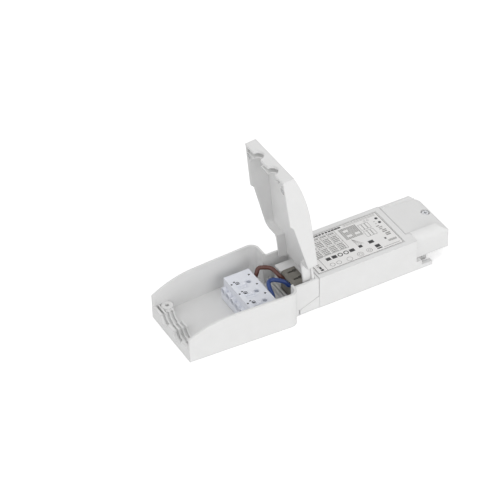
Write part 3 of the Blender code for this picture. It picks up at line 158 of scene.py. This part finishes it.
def principled(name, colour, **values):
    """A material with one Principled shader, set from a hex colour and socket values."""
    made = bpy.data.materials.new(name)
    made.use_nodes = True
    shader = made.node_tree.nodes["Principled BSDF"]
    shader.inputs["Base Color"].default_value = rgba(colour)
    for key, value in values.items():
        shader.inputs[key].default_value = value
    made.diffuse_color = rgba(colour)
    return made, made.node_tree, shader


def grained(name, colour, shade, grain, depth, roughness, stretch=(1, 1, 1), edge=0.0, **values):
    """Principled material with cloudy colour, a fine bump and a wandering roughness.

    grain is the size of one grain in millimetres along each axis before stretch, depth the
    height of the grain in millimetres, roughness its lowest and highest value, and edge the
    radius in metres that rounds the shading of sharp edges.
    """
    made, tree, shader = principled(name, colour, **values)
    place = node(tree, "ShaderNodeTexCoord")
    mapped = node(tree, "ShaderNodeMapping", {"Vector": place.outputs["Object"]}, Scale=stretch)
    cloud = node(tree, "ShaderNodeTexNoise", {"Vector": mapped.outputs["Vector"]},
                 Scale=1 / CLOUD_SIZE, Detail=3.0, Roughness=0.55)
    blend = node(tree, "ShaderNodeMix", {"Factor": cloud.outputs["Fac"]}, data_type="RGBA")
    blend.inputs[6].default_value = rgba(colour)
    blend.inputs[7].default_value = rgba(shade)
    tree.links.new(blend.outputs[2], shader.inputs["Base Color"])
    fine = node(tree, "ShaderNodeTexNoise", {"Vector": mapped.outputs["Vector"]},
                Scale=1 / (grain * MM), Detail=2.0, Roughness=0.5)
    spread = node(tree, "ShaderNodeMapRange", {"Value": fine.outputs["Fac"]})
    spread.inputs["To Min"].default_value = roughness[0]
    spread.inputs["To Max"].default_value = roughness[1]
    tree.links.new(spread.outputs["Result"], shader.inputs["Roughness"])
    bump = node(tree, "ShaderNodeBump", {"Height": fine.outputs["Fac"]}, Distance=depth * MM,
                Strength=1.0)
    if edge:
        round_edge = node(tree, "ShaderNodeBevel", samples=4, Radius=edge)
        tree.links.new(round_edge.outputs["Normal"], bump.inputs["Normal"])
    tree.links.new(bump.outputs["Normal"], shader.inputs["Normal"])
    return made


def paint(obj, made):
    """Give the whole object one material."""
    obj.data.materials.clear()
    obj.data.materials.append(made)


def grid_faces(rows, columns, wrap_rows=False, wrap_columns=False, start=0):
    """Quads between the neighbours of a rows x columns grid of vertices, as one array."""
    index = np.arange(rows * columns).reshape(rows, columns) + start
    if wrap_rows:
        index = np.vstack([index, index[:1]])
    if wrap_columns:
        index = np.hstack([index, index[:, :1]])
    return np.stack([index[:-1, :-1], index[:-1, 1:], index[1:, 1:], index[1:, :-1]],
                    axis=-1).reshape(-1, 4)


def add_piece(name, points, quads, body, slot, made, smooth=False):
    """Make a piece of quads from whole arrays and let it ride on a body."""
    mesh = bpy.data.meshes.new(name)
    mesh.from_pydata(np.asarray(points, dtype=float), [], np.asarray(quads, dtype=int))
    mesh.update()
    if smooth:
        mesh.shade_smooth()
        mesh.set_sharp_from_angle(angle=SHARP_ANGLE)
    piece = bpy.data.objects.new(name, mesh)
    bpy.context.scene.collection.objects.link(piece)
    paint(piece, made)
    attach(piece, body)
    return piece


def slabs(corners, low, high):
    """Flat prisms: each quad outline of (x, y) corners is repeated at two heights and walled.

    corners is n x 4 x 2 and runs anticlockwise seen from above.
    """
    corners = np.asarray(corners, dtype=float)
    count = len(corners)
    heights = np.array([low, high])
    points = np.empty((count, 2, 4, 3))
    points[..., :2] = corners[:, None]
    points[..., 2] = heights[None, :, None]
    faces = np.array([[3, 2, 1, 0], [4, 5, 6, 7], [0, 1, 5, 4], [1, 2, 6, 5], [2, 3, 7, 6],
                      [3, 0, 4, 7]])
    quads = faces[None] + 8 * np.arange(count)[:, None, None]
    return points.reshape(-1, 3), quads.reshape(-1, 4)


def side_slabs(corners, near, far):
    """The same prisms lying on their side: corners are (x, z) and the two ends are Y values.

    Swapping the second and third coordinate mirrors the prism, so each quad is turned round.
    """
    points, quads = slabs(corners, near, far)
    return points[:, [0, 2, 1]], quads[:, ::-1]


def bars(rows):
    """Corners of upright rectangles from rows of (station, y, length, width) in millimetres."""
    rows = np.asarray(rows, dtype=float)
    x, y = at(rows[:, 0]), rows[:, 1] * MM
    half = rows[:, 2:4] * MM / 2
    signs = np.array([[-1, -1], [1, -1], [1, 1], [-1, 1]])
    return np.stack([x, y], axis=-1)[:, None] + signs[None] * half[:, None]


def strokes(rows):
    """Corners of straight lines from rows of (station, y, station, y, width) in millimetres.

    Each end is moved half the width to both sides along the line's normal.
    """
    rows = np.asarray(rows, dtype=float)
    start = np.stack([at(rows[:, 0]), rows[:, 1] * MM], axis=-1)
    end = np.stack([at(rows[:, 2]), rows[:, 3] * MM], axis=-1)
    along = (end - start) / np.linalg.norm(end - start, axis=1, keepdims=True)
    side = np.stack([along[:, 1], -along[:, 0]], axis=-1) * rows[:, 4:5] * MM / 2
    return np.stack([start + side, end + side, end - side, start - side], axis=1)


def rings(rows, steps=24):
    """Corners of the pieces of rings from rows of (station, y, radius, width).

    Each ring is the band between two circles, cut into equal steps of the turn.
    """
    rows = np.asarray(rows, dtype=float)
    turn = np.linspace(0, 2 * math.pi, steps + 1)
    unit = np.stack([np.cos(turn), np.sin(turn)], axis=-1)
    centre = np.stack([at(rows[:, 0]), rows[:, 1] * MM], axis=-1)[:, None]
    outer = centre + unit * rows[:, 2, None, None] * MM
    inner = centre + unit * (rows[:, 2] - rows[:, 3])[:, None, None] * MM
    quads = np.stack([inner[:, :-1], outer[:, :-1], outer[:, 1:], inner[:, 1:]], axis=2)
    return quads.reshape(-1, 4, 2)


def turned(profile, centre, axis, steps=32):
    """Surface of revolution: (radius, height) points carried round an axis through centre.

    The profile is a closed outline, so the surface is a ring.
    """
    profile = np.asarray(profile, dtype=float) * MM
    turn = np.arange(steps) * 2 * math.pi / steps
    radius, height = profile[:, 0, None], profile[:, 1, None]
    across = radius * np.cos(turn)
    round_ = radius * np.sin(turn)
    along = height + 0 * turn
    order = {"Z": (across, round_, along), "X": (along, across, round_), "Y": (round_, along, across)}
    points = np.stack(order[axis], axis=-1) + np.asarray(centre, dtype=float)
    return points.reshape(-1, 3), grid_faces(len(profile), steps, True, True)


def plate(radius):
    """Outline of a thin round plate for turned(): a flat ring whose pinhole is too small to see."""
    return [(PINHOLE, -PLATE_HALF), (PINHOLE, PLATE_HALF), (radius, PLATE_HALF), (radius, -PLATE_HALF)]


def gather(parts):
    """Join several (points, quads) pairs into one pair."""
    counts = np.cumsum([0] + [len(points) for points, quads in parts])
    return (np.vstack([points for points, quads in parts]),
            np.vstack([quads + start for (points, quads), start in zip(parts, counts)]))


def spline(points, per_span):
    """Catmull-Rom curve: in each span a cubic through two points with their neighbours' slopes."""
    points = np.asarray(points, dtype=float)
    ends = np.vstack([2 * points[0] - points[1], points, 2 * points[-1] - points[-2]])
    a, b, c, d = (ends[i:len(ends) - 3 + i][:, None] for i in range(4))
    t = (np.arange(per_span) / per_span)[None, :, None]
    curve = 0.5 * (2 * b + (c - a) * t + (2 * a - 5 * b + 4 * c - d) * t ** 2
                   + (3 * b - a - 3 * c + d) * t ** 3)
    return np.vstack([curve.reshape(-1, 3), points[-1:]])


def tube(route, radius, sides):
    """Round tube: a circle carried along the route, square to it at every station.

    The circle's first axis is carried from station to station without twist, and both ends
    close on their own centre.
    """
    along = np.gradient(route, axis=0)
    along /= np.linalg.norm(along, axis=1, keepdims=True)
    first = np.empty_like(route)
    start = np.cross(along[0], (0, 0, 1))
    first[0] = start / np.linalg.norm(start)
    for i in range(1, len(route)):
        carried = first[i - 1] - along[i] * np.dot(first[i - 1], along[i])
        first[i] = carried / np.linalg.norm(carried)
    second = np.cross(along, first)
    turn = np.arange(sides) * 2 * math.pi / sides
    ring = (first[:, None] * np.cos(turn)[None, :, None]
            + second[:, None] * np.sin(turn)[None, :, None]) * radius
    points = (route[:, None] + ring).reshape(-1, 3)
    quads = grid_faces(len(route), sides, False, True)
    last = len(points)
    points = np.vstack([points, route[0], route[-1]])
    edge = np.arange(0, sides, 2)
    near = np.stack([np.full_like(edge, last), edge, (edge + 1) % sides, (edge + 2) % sides], axis=-1)
    far = np.stack([np.full_like(edge, last + 1), (edge + 2) % sides, (edge + 1) % sides, edge], axis=-1)
    far[:, 1:] += (len(route) - 1) * sides
    return points, np.vstack([quads[:, ::-1], near[:, ::-1], far[:, ::-1]])


def wire_route(name):
    """The route of a lead in metres, through the same points as the CAD solid's.

    Each row is (station, y, height). A lead leaves the block at the station out and enters the
    driver's terminal at the station mouth, at the height level.
    """
    first, last = BLOCK_MIDDLE + LEAD_SPACING, BLOCK_MIDDLE - LEAD_SPACING
    live, neutral = DRIVER_POLES
    out, mouth, level = 65.6, 80.1, 15.5
    routes = {
        "brown": [(60.0, first, 13.5), (out, first, 13.5), (out + 1.9, first + 0.3, 16.5),
                  (out + 3.8, first + 1.0, 19.5), (out + 6.8, first - 0.8, 20.4),
                  (out + 10.6, first - 3.8, 20.1), (mouth - 2.2, live + 2.0, level + 2.9),
                  (mouth - 0.5, live + 0.5, level + 0.7), (mouth + 1, live, level),
                  (mouth + 3.2, live, level)],
        "blue": [(60.0, last, 13.5), (out, last, 13.5), (out + 1.0, last + 1.4, 15.7),
                 (out + 1.2, last + 5.2, 18.0), (out + 2.8, last + 9.2, 19.4),
                 (out + 6.4, last + 9.6, 19.6), (mouth - 2.6, neutral + 2.0, level + 2.8),
                 (mouth - 0.6, neutral + 0.4, level + 0.4), (mouth + 1, neutral, level),
                 (mouth + 3.2, neutral, level)],
    }
    points = np.array(routes[name])
    points[:, 0] = at(points[:, 0])
    points[:, 1:] *= MM
    return points


class DRIVERBOX_OT_shells(bpy.types.Operator):
    """Give the white shells their moulded finish"""
    bl_idname = "driver_box.shells"
    bl_label = "White shells"

    def execute(self, context):
        colours, sizes = context.scene.driver_box_colours, context.scene.driver_box_sizes
        # Polycarbonate from a lightly eroded mould: even white with a fine satin grain, which
        # breaks up reflections, and small radii on every edge that catch a thin line of light.
        made = grained("Polycarbonate, spark-eroded mould", colours.shell, colours.shell_shade,
                       grain=0.5, depth=0.012, roughness=(0.42, 0.56), edge=sizes.edge_radius,
                       IOR=1.585)
        for name in ("box_base", "box_lid", "driver_housing", "driver_base", "output_cover"):
            paint(NODES[name], made)
        # The seams of the neck are shallow grooves: a lip inside each gap keeps the light in it.
        # Corners are (station, height): the upright seam, then the slanting one.
        groove = np.array([[94.53, 3.4], [94.77, 3.4], [94.77, 23.6], [94.53, 23.6]])
        slant = np.array([[80.8, 4.0], [94.4, 9.44], [94.4, 9.74], [80.8, 4.3]])
        corners = np.stack([groove, slant])
        corners = np.stack([at(corners[..., 0]), corners[..., 1] * MM], axis=-1)
        near_wall, far_wall = (-20.95 * MM, -19.75 * MM), (15.55 * MM, 16.75 * MM)
        lips = [side_slabs(corners, *near_wall), side_slabs(corners, *far_wall)]
        add_piece("neck_seam_lips", *gather(lips), ROOT, "white_shell", made)
        return {"FINISHED"}


class DRIVERBOX_OT_wires(bpy.types.Operator):
    """Round leads with smooth bends in place of the CAD wires"""
    bl_idname = "driver_box.wires"
    bl_label = "Leads"

    def execute(self, context):
        colours, sizes = context.scene.driver_box_colours, context.scene.driver_box_sizes
        # Extruded PVC: smooth and slightly waxy, with a soft streak of light along the lead.
        for name, colour, shade in (("brown", colours.live, "#54302a"),
                                    ("blue", colours.neutral, "#213a74")):
            made = grained(f"PVC, extruded, {name}", colour, shade, grain=0.6, depth=0.006,
                           roughness=(0.26, 0.38), IOR=1.53)
            route = spline(wire_route(name), sizes.wire_steps)
            points, quads = tube(route, sizes.wire_radius, sizes.wire_sides)
            piece = add_piece(f"{name}_lead", points, quads, ROOT, f"{name}_insulation", made, True)
            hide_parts(f"{name}_wire")
        return {"FINISHED"}


class DRIVERBOX_OT_connector(bpy.types.Operator):
    """Collars, buttons and ribs of the terminal block"""
    bl_idname = "driver_box.connector"
    bl_label = "Terminal block"

    def execute(self, context):
        colours = context.scene.driver_box_colours
        # Polyamide 6: a cool, slightly milky white with glossier, flatter faces than the shells.
        made = grained("Polyamide 6, moulded", colours.block, colours.block_shade, grain=0.8,
                       depth=0.01, roughness=(0.3, 0.42), edge=0.3 * MM, IOR=1.53)
        paint(NODES["connector_housing"], made)
        piece = add_piece("connector_details", *gather(self.details()), ROOT, "white_block", made, True)
        step = piece.modifiers.new("edges", "BEVEL")
        step.width = 0.08 * MM
        step.segments = 2
        step.limit_method = "ANGLE"
        # Painted shade in the depth of the holes and recesses: the same polyamide where no light reaches
        # it.
        dark = grained("Painted shade, holes of the terminal block", "#1f2023", "#17181b", grain=0.8, depth=0.01,
                       roughness=(0.5, 0.62), IOR=1.53)
        add_piece("connector_hole_painted_shade", *gather(self.floors()), ROOT, "white_block", dark)
        # Painted shade: light leaks through the milky walls, so the entries and the second row of holes
        # end in grey, not black.
        milky = grained("Painted shade, inside the entries", "#a9adb8", "#989da8", grain=0.8, depth=0.01,
                        roughness=(0.4, 0.5), IOR=1.53)
        add_piece("connector_entry_painted_shade", *gather(self.ends()), ROOT, "white_block", milky)
        return {"FINISHED"}

    def on_top(self, profile, station, shift=0.0, rise=0.0, steps=28):
        """The same turned shape at each of the three poles, standing on the block's top."""
        return [turned(profile, (at(station), (y + shift) * MM, (BLOCK_TOP + rise) * MM), "Z", steps)
                for y in BLOCK_POLES]

    def at_entries(self, profile, station, steps):
        """The same turned shape, lying along X, at each of the six wire entries."""
        poles = [BLOCK_MIDDLE + LEAD_SPACING, BLOCK_MIDDLE, BLOCK_MIDDLE - LEAD_SPACING]
        return [turned(profile, (at(station), y * MM, ENTRY_HEIGHT * MM), "X", steps)
                for y in np.add.outer(poles, ENTRY_OFFSETS).ravel()]

    def details(self):
        """Rings round the holes, rims round the entries, domes and low ridges.

        Each outline is a row of (radius, height) points, in millimetres.
        """
        button = [(0.95, -0.3), (0.95, 0.32), (1.2, 0.45), (1.75, 0.45), (1.95, 0.28), (1.95, -0.3)]
        lip = [(1.55, -0.3), (1.6, 0.2), (1.8, 0.3), (2.1, 0.18), (2.15, -0.3)]
        rim = [(2.0, 0.3), (2.0, -0.3), (2.15, -0.55), (2.4, -0.55), (2.62, -0.3), (2.65, 0.3)]
        dome = [(0.04, -0.2), (0.04, 0.55), (0.5, 0.5), (1.0, 0.32), (1.3, 0.05), (1.35, -0.2)]
        ridges = bars([(56.7, y - 4.0, 0.5, 3.4) for y in BLOCK_POLES]
                      + [(53.0, y - 5.7, 6.4, 0.4) for y in BLOCK_POLES])
        return [*self.on_top(button, BUTTON_STATION), *self.on_top(lip, RELEASE_STATION, shift=-1.6),
                *self.at_entries(rim, BLOCK_FRONT, 32), *self.on_top(dome, DOME_STATION, shift=-0.9),
                slabs(ridges, (BLOCK_TOP - 0.2) * MM, (BLOCK_TOP + 0.3) * MM)]

    def floors(self):
        """Painted shade of holes and recesses: plates in the button holes, ticks, rings on buttons,
        squares.
        """
        spot = [(0.98, 0.3), (0.98, 0.47), (1.3, 0.47), (1.3, 0.3)]
        squares = bars([(47.95, y + 1.1, 1.2, 1.1) for y in BLOCK_POLES]
                       + [(50.4, y + 2.5, 1.2, 1.0) for y in BLOCK_POLES])
        return [*self.on_top(plate(0.78), BUTTON_STATION, rise=-0.5, steps=20),
                *self.on_top(plate(1.0), TICK_STATION, shift=4.4, rise=-0.07, steps=3),
                *self.on_top(spot, BUTTON_STATION, steps=24),
                slabs(squares, (BLOCK_TOP - 0.2) * MM, (BLOCK_TOP + 0.03) * MM)]

    def ends(self):
        """Plates painted grey for the shade that ends the wire entries and the second row of holes."""
        return [*self.at_entries(plate(1.9), ENTRY_FLOOR, 24),
                *self.on_top(plate(1.4), RELEASE_STATION, shift=-1.6, rise=-0.7, steps=24)]


class DRIVERBOX_OT_terminals(bpy.types.Operator):
    """Grey push-in terminals and the painted shade in their slots"""
    bl_idname = "driver_box.terminals"
    bl_label = "Driver terminals"

    def execute(self, context):
        colours = context.scene.driver_box_colours
        # Glass-filled polyamide: dull grey-green with faint darker flow marks.
        made = grained("Polyamide, glass filled", colours.terminal, colours.terminal_shade,
                       grain=0.5, depth=0.02, roughness=(0.5, 0.66), edge=0.25 * MM, IOR=1.53)
        paint(NODES["input_terminal"], made)
        paint(NODES["output_terminal"], made)
        # Painted shade on the floors of the slots, nearly black as the photograph shows them, and dark
        # rings round the key holes.
        dark = grained("Painted shade, terminal slots", "#3a3833", "#2e2c28", grain=0.5, depth=0.01,
                       roughness=(0.55, 0.7), IOR=1.53)
        slots = slabs(bars([(SLOT_STATION, y, 3.3, 1.2) for y in DRIVER_POLES]), 17.75 * MM, 18.3 * MM)
        marks = slabs(rings([(SLOT_RING_STATION, y, 1.3, 0.4) for y in DRIVER_POLES]),
                      19.0 * MM, 19.05 * MM)
        add_piece("terminal_slot_painted_shade", *gather([slots, marks]), ROOT, "grey_terminal", dark)
        return {"FINISHED"}


class DRIVERBOX_OT_label(bpy.types.Operator):
    """Printed film on the driver: fields of colour and simple shapes, with no lettering"""
    bl_idname = "driver_box.label"
    bl_label = "Rating label"

    def execute(self, context):
        colours, sizes = context.scene.driver_box_colours, context.scene.driver_box_sizes
        # Polyester film: matt and very slightly mottled where the adhesive pulls it down.
        film = grained("Polyester film, matt", colours.label, "#e8e7e6", grain=0.7, depth=0.004,
                       roughness=(0.42, 0.55), IOR=1.6)
        paint(NODES["rating_label"], film)
        # Screen-printed ink: dense and dull, with a slightly broken edge of tone.
        ink = grained("Screen ink, black", colours.ink, "#3a3a3c", grain=0.3, depth=0.002,
                      roughness=(0.5, 0.6))
        grey = grained("Screen ink, fine print", colours.grey_ink, "#a5a4a2", grain=0.3,
                       depth=0.002, roughness=(0.5, 0.6))
        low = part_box("rating_label")[1][2]
        high = low + sizes.ink_thickness
        for name, corners, made in (("label_print_dark", self.dark(), ink),
                                    ("label_print_grey", self.fine(), grey)):
            add_piece(name, *slabs(corners, low, high), ROOT, "label", made)
        return {"FINISHED"}

    def dark(self):
        """Frame lines, a heading of dense blocks, dots, single blocks and two rings.

        As in bars(), strokes() and rings(), the rows are places and sizes in millimetres.
        """
        frame_lines = strokes([(96.9, 17.1, 159.1, 17.1, 0.26), (96.9, -17.3, 159.1, -17.3, 0.26),
                               (159.1, -17.3, 159.1, 17.1, 0.26), (96.9, -17.3, 96.9, 17.1, 0.26),
                               (103.6, -17.3, 103.6, -4.6, 0.22), (96.9, -4.6, 107.0, -4.6, 0.2)])
        station = np.arange(98.0, 133.0, 2.35)
        heading = bars(np.stack([station, 0 * station + 15.7, 1.85 + 0.3 * np.sin(5 * station),
                                 0 * station + 1.35], axis=-1))
        dots = rings([(156.5, 11.7, 1.05, 1.04), (156.5, 7.3, 1.05, 1.04)])
        blocks = bars([(100.4, -13.0, 1.4, 2.2), (100.5, -15.3, 2.0, 1.6), (109.2, -8.0, 3.2, 2.8),
                       (113.6, -8.0, 3.4, 2.8), (126.6, -8.0, 3.6, 2.8), (133.2, -7.4, 2.6, 2.4),
                       (141.4, -6.9, 3.6, 2.8), (143.0, -12.4, 3.4, 2.8), (143.0, -15.0, 3.6, 1.0),
                       (151.2, -8.4, 1.2, 1.6)])
        arcs = rings([(117.9, -8.0, 1.8, 0.65), (122.2, -8.0, 1.8, 0.65)])
        return np.vstack([frame_lines, heading, dots, blocks, arcs])

    def fine(self):
        """Rules, hatched table, windows, rings and short bars."""
        # Table: groups of three columns and four rows, whose cells vary a little in width.
        column, row = np.meshgrid(np.arange(20), np.arange(11))
        kept = (column % 4 != 3) & (row % 5 != 4)
        s, y = 98.6 + 1.45 * column[kept], -3.4 + 1.62 * row[kept]
        width = 1.15 + 0.2 * np.sin(3.1 * s + 1.7 * y)
        table = bars(np.stack([s, y, width, 0 * s + 1.0], axis=-1))
        rules = strokes([(s, -4.3, s, 13.9, 0.26) for s in 97.5 + 5.8 * np.arange(6)]
                        + [(97.5, y, 126.5, y, 0.26) for y in (-4.4, 3.1, 11.2, 13.9)]
                        + [(134.0, 15.9, 157.6, 15.9, 0.3), (134.0, 14.9, 157.6, 14.9, 0.2)])
        # Block of small squares, with windows left open in it.
        s, y = np.meshgrid(np.arange(129.4, 142.0, 1.15), np.arange(-0.6, 13.6, 1.05))
        open_ = (np.abs(s - 132.6) < 1.8) & (np.abs(y - 10.2) < 1.3)
        open_ |= (np.abs(s - 138.4) < 1.8) & (np.abs(y - 5.0) < 1.3)
        open_ |= (np.abs(s - 132.6) < 1.8) & (np.abs(y - 5.0) < 0.8)
        open_ |= y < 1.8
        s, y = s[~open_], y[~open_]
        block = bars(np.stack([s, y, 0 * s + 0.9, 0 * s + 0.76], axis=-1))
        # Two rows of three frames, and under the block a fan of thin lines.
        edges = []
        for left in (142.4, 144.9, 147.4):
            for low in (-1.6, 5.6):
                right, high = left + 2.1, low + 5.8
                edges += [(left, low, right, low, 0.24), (right, low, right, high, 0.24),
                          (right, high, left, high, 0.24), (left, high, left, low, 0.24)]
        fan = [(131.6, 1.4, 132.2 + 1.1 * i, -5.8, 0.2) for i in range(5)]
        windows = strokes(edges + fan)
        circles = rings([(108.8, -14.0, 1.7, 0.28), (113.4, -14.2, 1.7, 0.28), (121.0, -14.6, 2.0, 0.24),
                         (129.2, -14.2, 2.2, 0.24), (129.2, -14.2, 1.2, 0.24), (136.2, -13.6, 2.0, 0.24),
                         (136.2, -13.6, 1.0, 0.24), (150.8, 13.0, 0.8, 0.2), (148.4, 13.0, 0.8, 0.2)])
        short = bars([(153.2, 4.4, 2.2, 0.7), (154.4, 2.8, 2.6, 0.7), (153.8, 1.2, 2.2, 0.7),
                      (155.0, -0.6, 3.0, 0.9), (154.6, -2.2, 3.2, 0.9), (155.4, -4.4, 3.4, 1.0),
                      (155.2, -6.0, 3.2, 1.0), (99.6, -8.0, 1.4, 0.5), (100.2, -9.8, 2.4, 0.5),
                      (99.8, -11.2, 1.8, 0.5), (153.6, 9.4, 0.9, 0.5), (153.6, 7.0, 0.9, 0.5)])
        # Upright comb and a row of small squares along the foot of the label.
        s = np.arange(151.9, 157.6, 0.62)
        comb = bars(np.stack([s, 0 * s - 11.5, 0 * s + 0.36, 0 * s + 1.9], axis=-1))
        s = np.arange(146.4, 157.6, 0.9)
        foot = bars(np.stack([s, 0 * s - 15.6, 0 * s + 0.55, 0 * s + 0.6], axis=-1))
        return np.vstack([table, rules, block, windows, circles, short, comb, foot])


class DRIVERBOX_OT_metal(bpy.types.Operator):
    """Screws and clamps"""
    bl_idname = "driver_box.metal"
    bl_label = "Screws and clamps"

    def execute(self, context):
        # Zinc-plated steel: bluish grey, rolled smooth with a slight haze from the plating.
        zinc = grained("Steel, zinc plated", "#d9dadc", "#c6c8cb", grain=0.35, depth=0.01,
                       roughness=(0.4, 0.5), Metallic=1.0)
        for name in ("lid_screw_near", "lid_screw_far", "output_cover_screw"):
            paint(NODES[name], zinc)
        # Tinned brass strip: warm at the bends, greyer on the flats.
        tin = grained("Brass strip, tinned", "#c9bfa8", "#b3a27c", grain=0.5, depth=0.01,
                      roughness=(0.25, 0.4), Metallic=1.0)
        for i in range(3):
            paint(NODES[f"connector_clamp_{i + 1}"], tin)
        # Mill-finish aluminium: fine lines along the rolled strip.
        sheet = grained("Aluminium, mill finish", "#c4c6c9", "#b4b6ba", grain=0.2, depth=0.008,
                        roughness=(0.3, 0.45), stretch=(0.08, 1, 1), Metallic=1.0)
        paint(NODES["heatsink"], sheet)
        return {"FINISHED"}


class DRIVERBOX_OT_electronics(bpy.types.Operator):
    """Circuit board and what stands on it"""
    bl_idname = "driver_box.electronics"
    bl_label = "Circuit board"

    def execute(self, context):
        # Each finish is that of the usual part: resist over glass fibre, sintered ferrite,
        # polyester tape, shrunk sleeve, dipped epoxy and moulded epoxy.
        finishes = {
            "Solder resist on glass fibre": (("circuit_board",), "#245c39", "#1b4a2d", 0.9, 0.02,
                                             (0.25, 0.4)),
            "Ferrite, sintered": (("transformer_core", "line_choke"), "#3b3b3e", "#2c2c2f", 0.3, 0.03,
                                  (0.55, 0.75)),
            "Polyester tape, wound": (("transformer_winding",), "#dcb43c", "#c99b24", 0.8, 0.02,
                                      (0.3, 0.42)),
            "PVC sleeve, shrunk": (("bulk_capacitor", "output_capacitor", "fuse"), "#26262b",
                                   "#1b1b20", 1.2, 0.02, (0.28, 0.4)),
            "Epoxy case, moulded": (("film_capacitor",), "#9c3527", "#84281d", 0.7, 0.02, (0.35, 0.5)),
            "Epoxy coating, dipped": (("varistor",), "#3164a2", "#28558d", 1.0, 0.03, (0.3, 0.42)),
            "Epoxy compound, transfer moulded": (("power_transistor", "control_chip"), "#2a2a2c",
                                                 "#1f1f21", 0.25, 0.02, (0.5, 0.65)),
        }
        for name, (nodes, colour, shade, grain, depth, roughness) in finishes.items():
            made = grained(name, colour, shade, grain, depth, roughness)
            for each in nodes:
                paint(NODES[each], made)
        return {"FINISHED"}


class DRIVERBOX_OT_stage(bpy.types.Operator):
    """Floor, soft lamps, world and the photograph's camera"""
    bl_idname = "driver_box.stage"
    bl_label = "Stage"

    def execute(self, context):
        scene = context.scene
        scene.view_settings.view_transform = "Standard"
        floor_mesh = bpy.data.meshes.new("floor")
        floor_mesh.from_pydata([(-3, -3, 0), (3, -3, 0), (3, 3, 0), (-3, 3, 0)], [], [(0, 1, 2, 3)])
        floor = bpy.data.objects.new("floor", floor_mesh)
        floor.location.z = -0.0002
        scene.collection.objects.link(floor)
        # Matt studio paper. It glows a little for the camera alone, which keeps the ground white.
        made, tree, shader = principled("Studio floor, matt white", scene.driver_box_colours.floor,
                                        Roughness=0.9)
        path = node(tree, "ShaderNodeLightPath")
        glow = node(tree, "ShaderNodeMath", {0: path.outputs["Is Camera Ray"]}, operation="MULTIPLY")
        glow.inputs[1].default_value = FLOOR_GLOW
        shader.inputs["Emission Color"].default_value = (1, 1, 1, 1)
        tree.links.new(glow.outputs[0], shader.inputs["Emission Strength"])
        paint(floor, made)
        self.light(scene)
        self.camera(scene)
        return {"FINISHED"}

    def light(self, scene):
        """A white world, plainer for the light it throws than where it is seen, and three lamps."""
        world = bpy.data.worlds.new("Soft studio")
        world.use_nodes = True
        tree = world.node_tree
        back = tree.nodes["Background"]
        path = node(tree, "ShaderNodeLightPath")
        seen = node(tree, "ShaderNodeMath", {0: path.outputs["Is Camera Ray"],
                                             1: path.outputs["Is Glossy Ray"]}, operation="MAXIMUM")
        strength = node(tree, "ShaderNodeMapRange", {"Value": seen.outputs[0]})
        strength.inputs["To Min"].default_value = WORLD_LIGHT
        strength.inputs["To Max"].default_value = WORLD_SEEN
        tree.links.new(strength.outputs["Result"], back.inputs["Strength"])
        back.inputs["Color"].default_value = (1, 1, 1, 1)
        scene.world = world
        for name, place, size, power in LAMPS:
            lamp = bpy.data.lights.new(name, "AREA")
            lamp.shape = "SQUARE"
            lamp.size = size
            lamp.energy = power
            holder = bpy.data.objects.new(name, lamp)
            holder.location = place
            aim = Vector(AIM) - Vector(place)
            holder.rotation_euler = aim.to_track_quat("-Z", "Y").to_euler()
            scene.collection.objects.link(holder)

    def camera(self, scene):
        """The photograph's camera, fitted to the part's corners: its axes, and its place in metres."""
        view = bpy.data.cameras.new("photo_view")
        view.sensor_width = 36.0
        view.sensor_fit = "HORIZONTAL"
        view.lens = LENS
        view.clip_start = 0.05
        holder = bpy.data.objects.new("photo_view", view)
        right = Vector((0.87128, -0.49031, -0.02177))
        up = Vector((0.32588, 0.54478, 0.77267))
        back = Vector((-0.36699, -0.68030, 0.63444))
        place = Vector((-0.58421, -1.01002, 0.98971))
        turn = Matrix((right, up, back)).transposed().to_4x4()
        holder.matrix_world = Matrix.Translation(place) @ turn
        scene.collection.objects.link(holder)
        scene.camera = holder


class DRIVERBOX_PT_panel(bpy.types.Panel):
    """Lists the steps that dress the part"""
    bl_label = "Driver box"
    bl_space_type = "VIEW_3D"
    bl_region_type = "UI"
    bl_category = "Driver box"

    def draw(self, context):
        """One button for each step."""
        for step in STEPS:
            self.layout.operator(step.bl_idname)


STEPS = (DRIVERBOX_OT_shells, DRIVERBOX_OT_wires, DRIVERBOX_OT_connector, DRIVERBOX_OT_terminals,
         DRIVERBOX_OT_label, DRIVERBOX_OT_metal, DRIVERBOX_OT_electronics, DRIVERBOX_OT_stage)
CLASSES = (DriverBoxColours, DriverBoxSizes, *STEPS, DRIVERBOX_PT_panel)


def register():
    """Register the classes and hang the two groups of settings on the scene."""
    for each in CLASSES:
        bpy.utils.register_class(each)
    bpy.types.Scene.driver_box_colours = PointerProperty(type=DriverBoxColours)
    bpy.types.Scene.driver_box_sizes = PointerProperty(type=DriverBoxSizes)


def unregister():
    """Take back what register() did."""
    del bpy.types.Scene.driver_box_colours
    del bpy.types.Scene.driver_box_sizes
    for each in reversed(CLASSES):
        bpy.utils.unregister_class(each)


def main():
    """Run every step once."""
    register()
    for step in STEPS:
        group, name = step.bl_idname.split(".")
        getattr(getattr(bpy.ops, group), name)()


if __name__ == "__main__":
    main()
